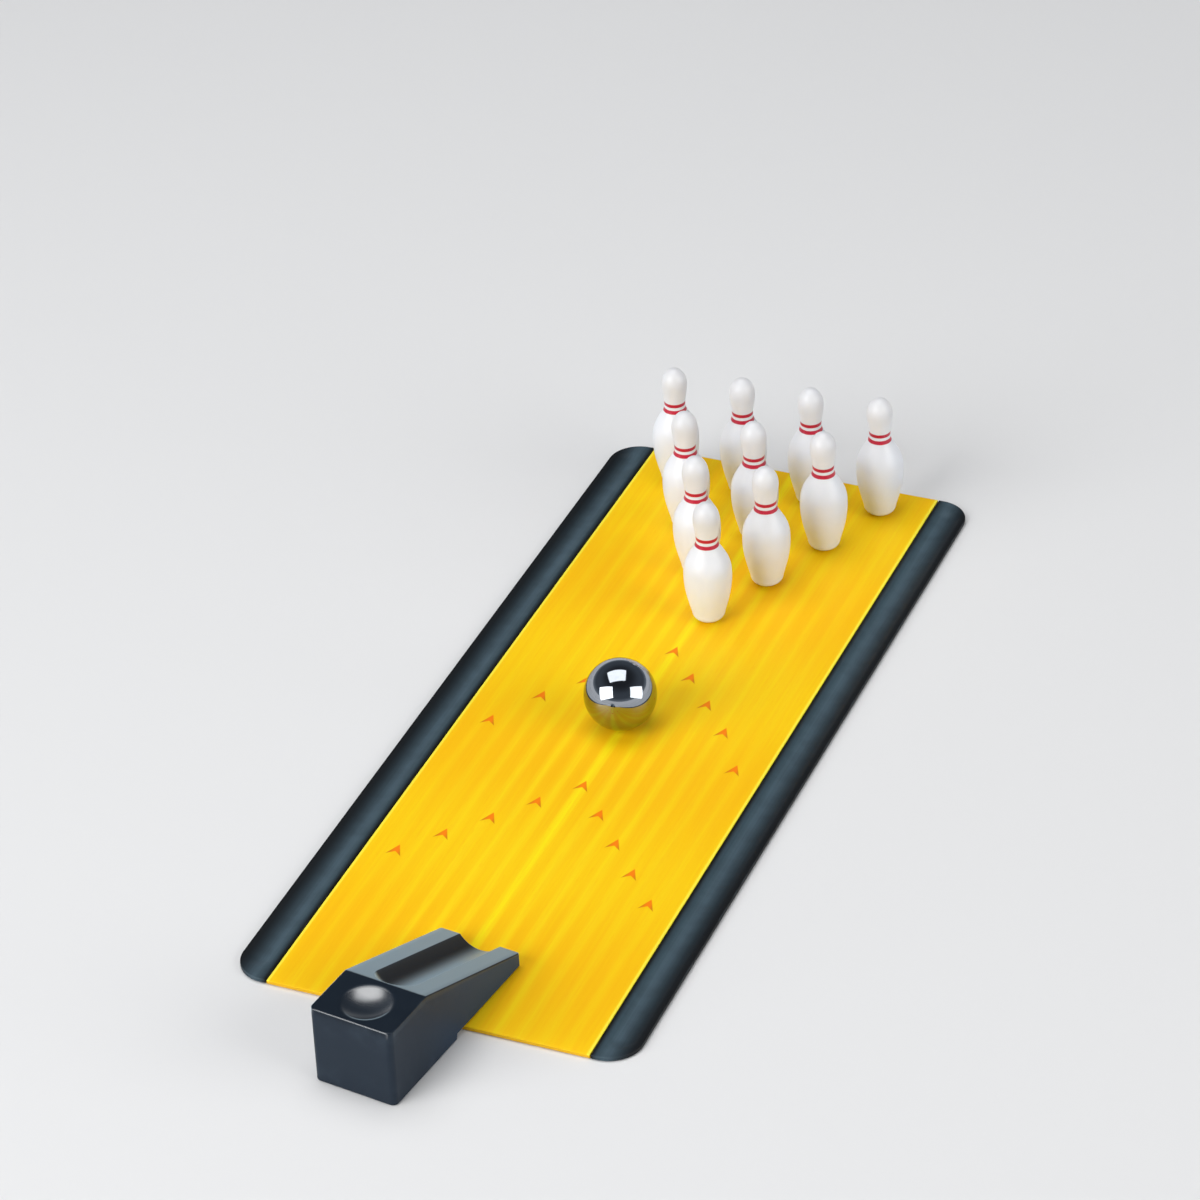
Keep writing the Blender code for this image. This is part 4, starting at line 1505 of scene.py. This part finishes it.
@dataclass
class Stage:
    """A round pale floor that curves up into a low wall."""

    radius: float = 3.2
    wall_height: float = 0.62
    floor_height: float = -0.0002
    rings: tuple[float, ...] = (0.0, 0.4, 0.9, 1.6)
    steps: int = 96
    bend_steps: int = 12

    def mesh(self) -> bpy.types.Mesh:
        """A flat disc and a quarter circle turned about the vertical axis, open at the top.

        Returns:
            The floor's mesh.
        """
        bend = np.linspace(0.0, QUARTER_TURN, self.bend_steps + 1)
        radii = np.concatenate([self.rings, self.radius - self.wall_height + self.wall_height * np.sin(bend)])
        heights = np.concatenate([np.zeros(len(self.rings)), self.wall_height * (1.0 - np.cos(bend))])
        heights = heights + self.floor_height
        angle = np.linspace(0.0, 2 * math.pi, self.steps + 1)
        circle = np.stack([np.cos(angle), np.sin(angle)], -1)
        upright = np.repeat(heights[1:, None, None], self.steps + 1, axis=1)
        grid = np.concatenate([radii[1:, None, None] * circle, upright], -1)
        points = np.concatenate([grid.reshape(-1, 3), [[0.0, 0.0, self.floor_height]]])
        quads = grid_quads(len(radii) - 1, self.steps + 1, 0, False)
        hub, around = len(points) - 1, np.arange(self.steps)
        middle = np.stack([np.full(self.steps, hub), around, around + 1], -1)
        mesh = bpy.data.meshes.new("stage_floor")
        mesh.from_pydata(points.tolist(), [], quads.tolist() + middle.tolist())
        mesh.shade_smooth()
        return mesh

    def build(self, paint: bpy.types.Material) -> bpy.types.Object:
        """Puts the stage in the scene.

        Args:
            paint: Its finish.

        Returns:
            The floor.
        """
        floor = bpy.data.objects.new("stage_floor", self.mesh())
        floor.data.materials.append(paint)
        bpy.context.scene.collection.objects.link(floor)
        return floor


@dataclass(frozen=True)
class Softbox:
    """A rectangular lamp, placed by where it stands seen from the player's side camera."""

    name: str
    right: float
    towards: float
    up: float
    distance: float
    width: float
    height: float
    level: float
    colour: Colour = (1.0, 1.0, 1.0)


@dataclass
class Studio:
    """The camera, the lamps and the dim room over them, which is palest near the floor."""

    azimuth: float = math.radians(23.594)
    elevation: float = math.radians(33.888)
    roll: float = math.radians(-2.577)
    target: tuple[float, float, float] = (-0.029209, 0.053476, 0.0012)
    distance: float = 1.31631
    lens: float = 139.757
    clip: tuple[float, float] = (0.05, 20.0)
    horizon: Colour = (0.34, 0.38, 0.42)
    middle: Colour = (0.095, 0.110, 0.130)
    ceiling: Colour = (0.035, 0.038, 0.045)
    middle_span: Span = (0.12, 0.38, 0.0, 1.0)
    ceiling_span: Span = (0.50, 0.90, 0.0, 1.0)
    aim: tuple[float, float, float] = (0.0, 0.0, 0.015)
    lamps: tuple[Softbox, ...] = (
        Softbox("lamp_overhead", -0.115, -0.120, 0.985, 1.7, 1.50, 1.25, 2.65),
        Softbox("lamp_left", -0.713, 0.520, 0.470, 1.9, 1.50, 1.20, 5.2),
        Softbox("lamp_right", 0.795, 0.467, 0.385, 1.9, 1.45, 1.10, 3.3, (1.0, 0.99, 0.97)),
    )

    def axes(self) -> tuple[Vector, Vector]:
        """Level directions to the camera's right and towards the camera."""
        sine, cosine = math.sin(self.azimuth), math.cos(self.azimuth)
        return Vector((cosine, sine, 0.0)), Vector((sine, -cosine, 0.0))

    def place(
        self, name: str, data: bpy.types.ID, axes: tuple[Vector, ...], position: Vector
    ) -> bpy.types.Object:
        """Puts a camera or a lamp in the scene.

        Args:
            name: Its name.
            data: The camera or light.
            axes: Its right, its up and the direction away from what it points at.
            position: Where it stands.

        Returns:
            The placed object.
        """
        matrix = Matrix(axes).transposed().to_4x4()
        matrix.translation = position
        placed = bpy.data.objects.new(name, data)
        placed.matrix_world = matrix
        bpy.context.scene.collection.objects.link(placed)
        return placed

    def build_camera(self) -> None:
        """The camera, turned about its own line of sight by the roll."""
        right, near = self.axes()
        back = near * math.cos(self.elevation) + Vector((0.0, 0.0, math.sin(self.elevation)))
        up = back.cross(right)
        rolled_right = right * math.cos(self.roll) + up * math.sin(self.roll)
        rolled_up = -right * math.sin(self.roll) + up * math.cos(self.roll)
        data = bpy.data.cameras.new("camera")
        data.lens = self.lens
        data.clip_start, data.clip_end = self.clip
        position = Vector(self.target) + back * self.distance
        bpy.context.scene.camera = self.place("camera", data, (rolled_right, rolled_up, back), position)

    def build_lamp(self, lamp: Softbox) -> None:
        """One lamp, aimed at the set.

        Its long side lies as level as it can, seen by the camera. A lamp's level is the brightness of its
        face, so its power is level times pi times area.

        Args:
            lamp: The lamp to place.
        """
        right, near = self.axes()
        away = (right * lamp.right + near * lamp.towards + Vector((0.0, 0.0, lamp.up))).normalized()
        data = bpy.data.lights.new(lamp.name, "AREA")
        data.shape = "RECTANGLE"
        data.size, data.size_y = lamp.width, lamp.height
        data.energy = lamp.level * math.pi * lamp.width * lamp.height
        data.color = lamp.colour
        level = (right - away * right.dot(away)).normalized()
        position = Vector(self.aim) + away * lamp.distance
        self.place(lamp.name, data, (level, away.cross(level), away), position).visible_camera = False

    def build(self) -> None:
        """The camera, every lamp, and the room's light, which fades with the height of its direction."""
        self.build_camera()
        for lamp in self.lamps:
            self.build_lamp(lamp)
        world = bpy.data.worlds.new("room")
        world.use_nodes = True
        graph = Graph(world.node_tree)
        _, _, height = graph.add("ShaderNodeTexCoord", output="Generated").parts()
        colour = graph.veil(self.horizon, self.middle, height, self.middle_span)
        colour = graph.veil(colour, self.ceiling, height, self.ceiling_span)
        graph.feed(world.node_tree.nodes["Background"].inputs["Color"], colour)
        bpy.context.scene.world = world
        bpy.context.scene.view_settings.view_transform = "Standard"


# Assembly


def add_piece(
    mesh: bpy.types.Mesh, material: bpy.types.Material, node: str, body: str
) -> bpy.types.Object:
    """Puts a finished mesh in the scene in place of a node.

    Args:
        mesh: The piece's mesh, already in place.
        material: Its finish.
        node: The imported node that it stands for.
        body: The body that it rides on.

    Returns:
        The piece.
    """
    piece = bpy.data.objects.new(mesh.name, mesh)
    mesh.materials.append(material)
    bpy.context.scene.collection.objects.link(piece)
    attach(piece, body)
    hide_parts(node)
    LOG.info("%s: %d faces, rides on %s", piece.name, len(mesh.polygons), body)
    return piece


def main() -> None:
    """Builds the set's pieces, the stage and the studio in order."""
    logging.basicConfig(level=logging.INFO, format="%(message)s")
    effects = Effects(LaneMarks())
    gutter_plastic, pin_paint = GutterPlastic().build(effects), PinPaint().build(effects)
    add_piece(Lane().mesh(), LanePrint().build(effects), "lane_deck", "lane")
    for side in Side:
        add_piece(Gutter(side).mesh(), gutter_plastic, f"gutter_{side.name.lower()}", "lane")
    add_piece(Ramp().mesh(), RampPlastic().build(effects), "ramp", "ramp")
    add_piece(Ball().mesh(), BallSteel().build(effects), "ball", "ball")
    for number, mesh in enumerate(Rack().meshes(), start=1):
        add_piece(mesh, pin_paint, f"pin_{number}", f"pin_{number}")
    Stage().build(StagePaint().build(effects))
    Studio().build()


if __name__ == "__main__":
    main()
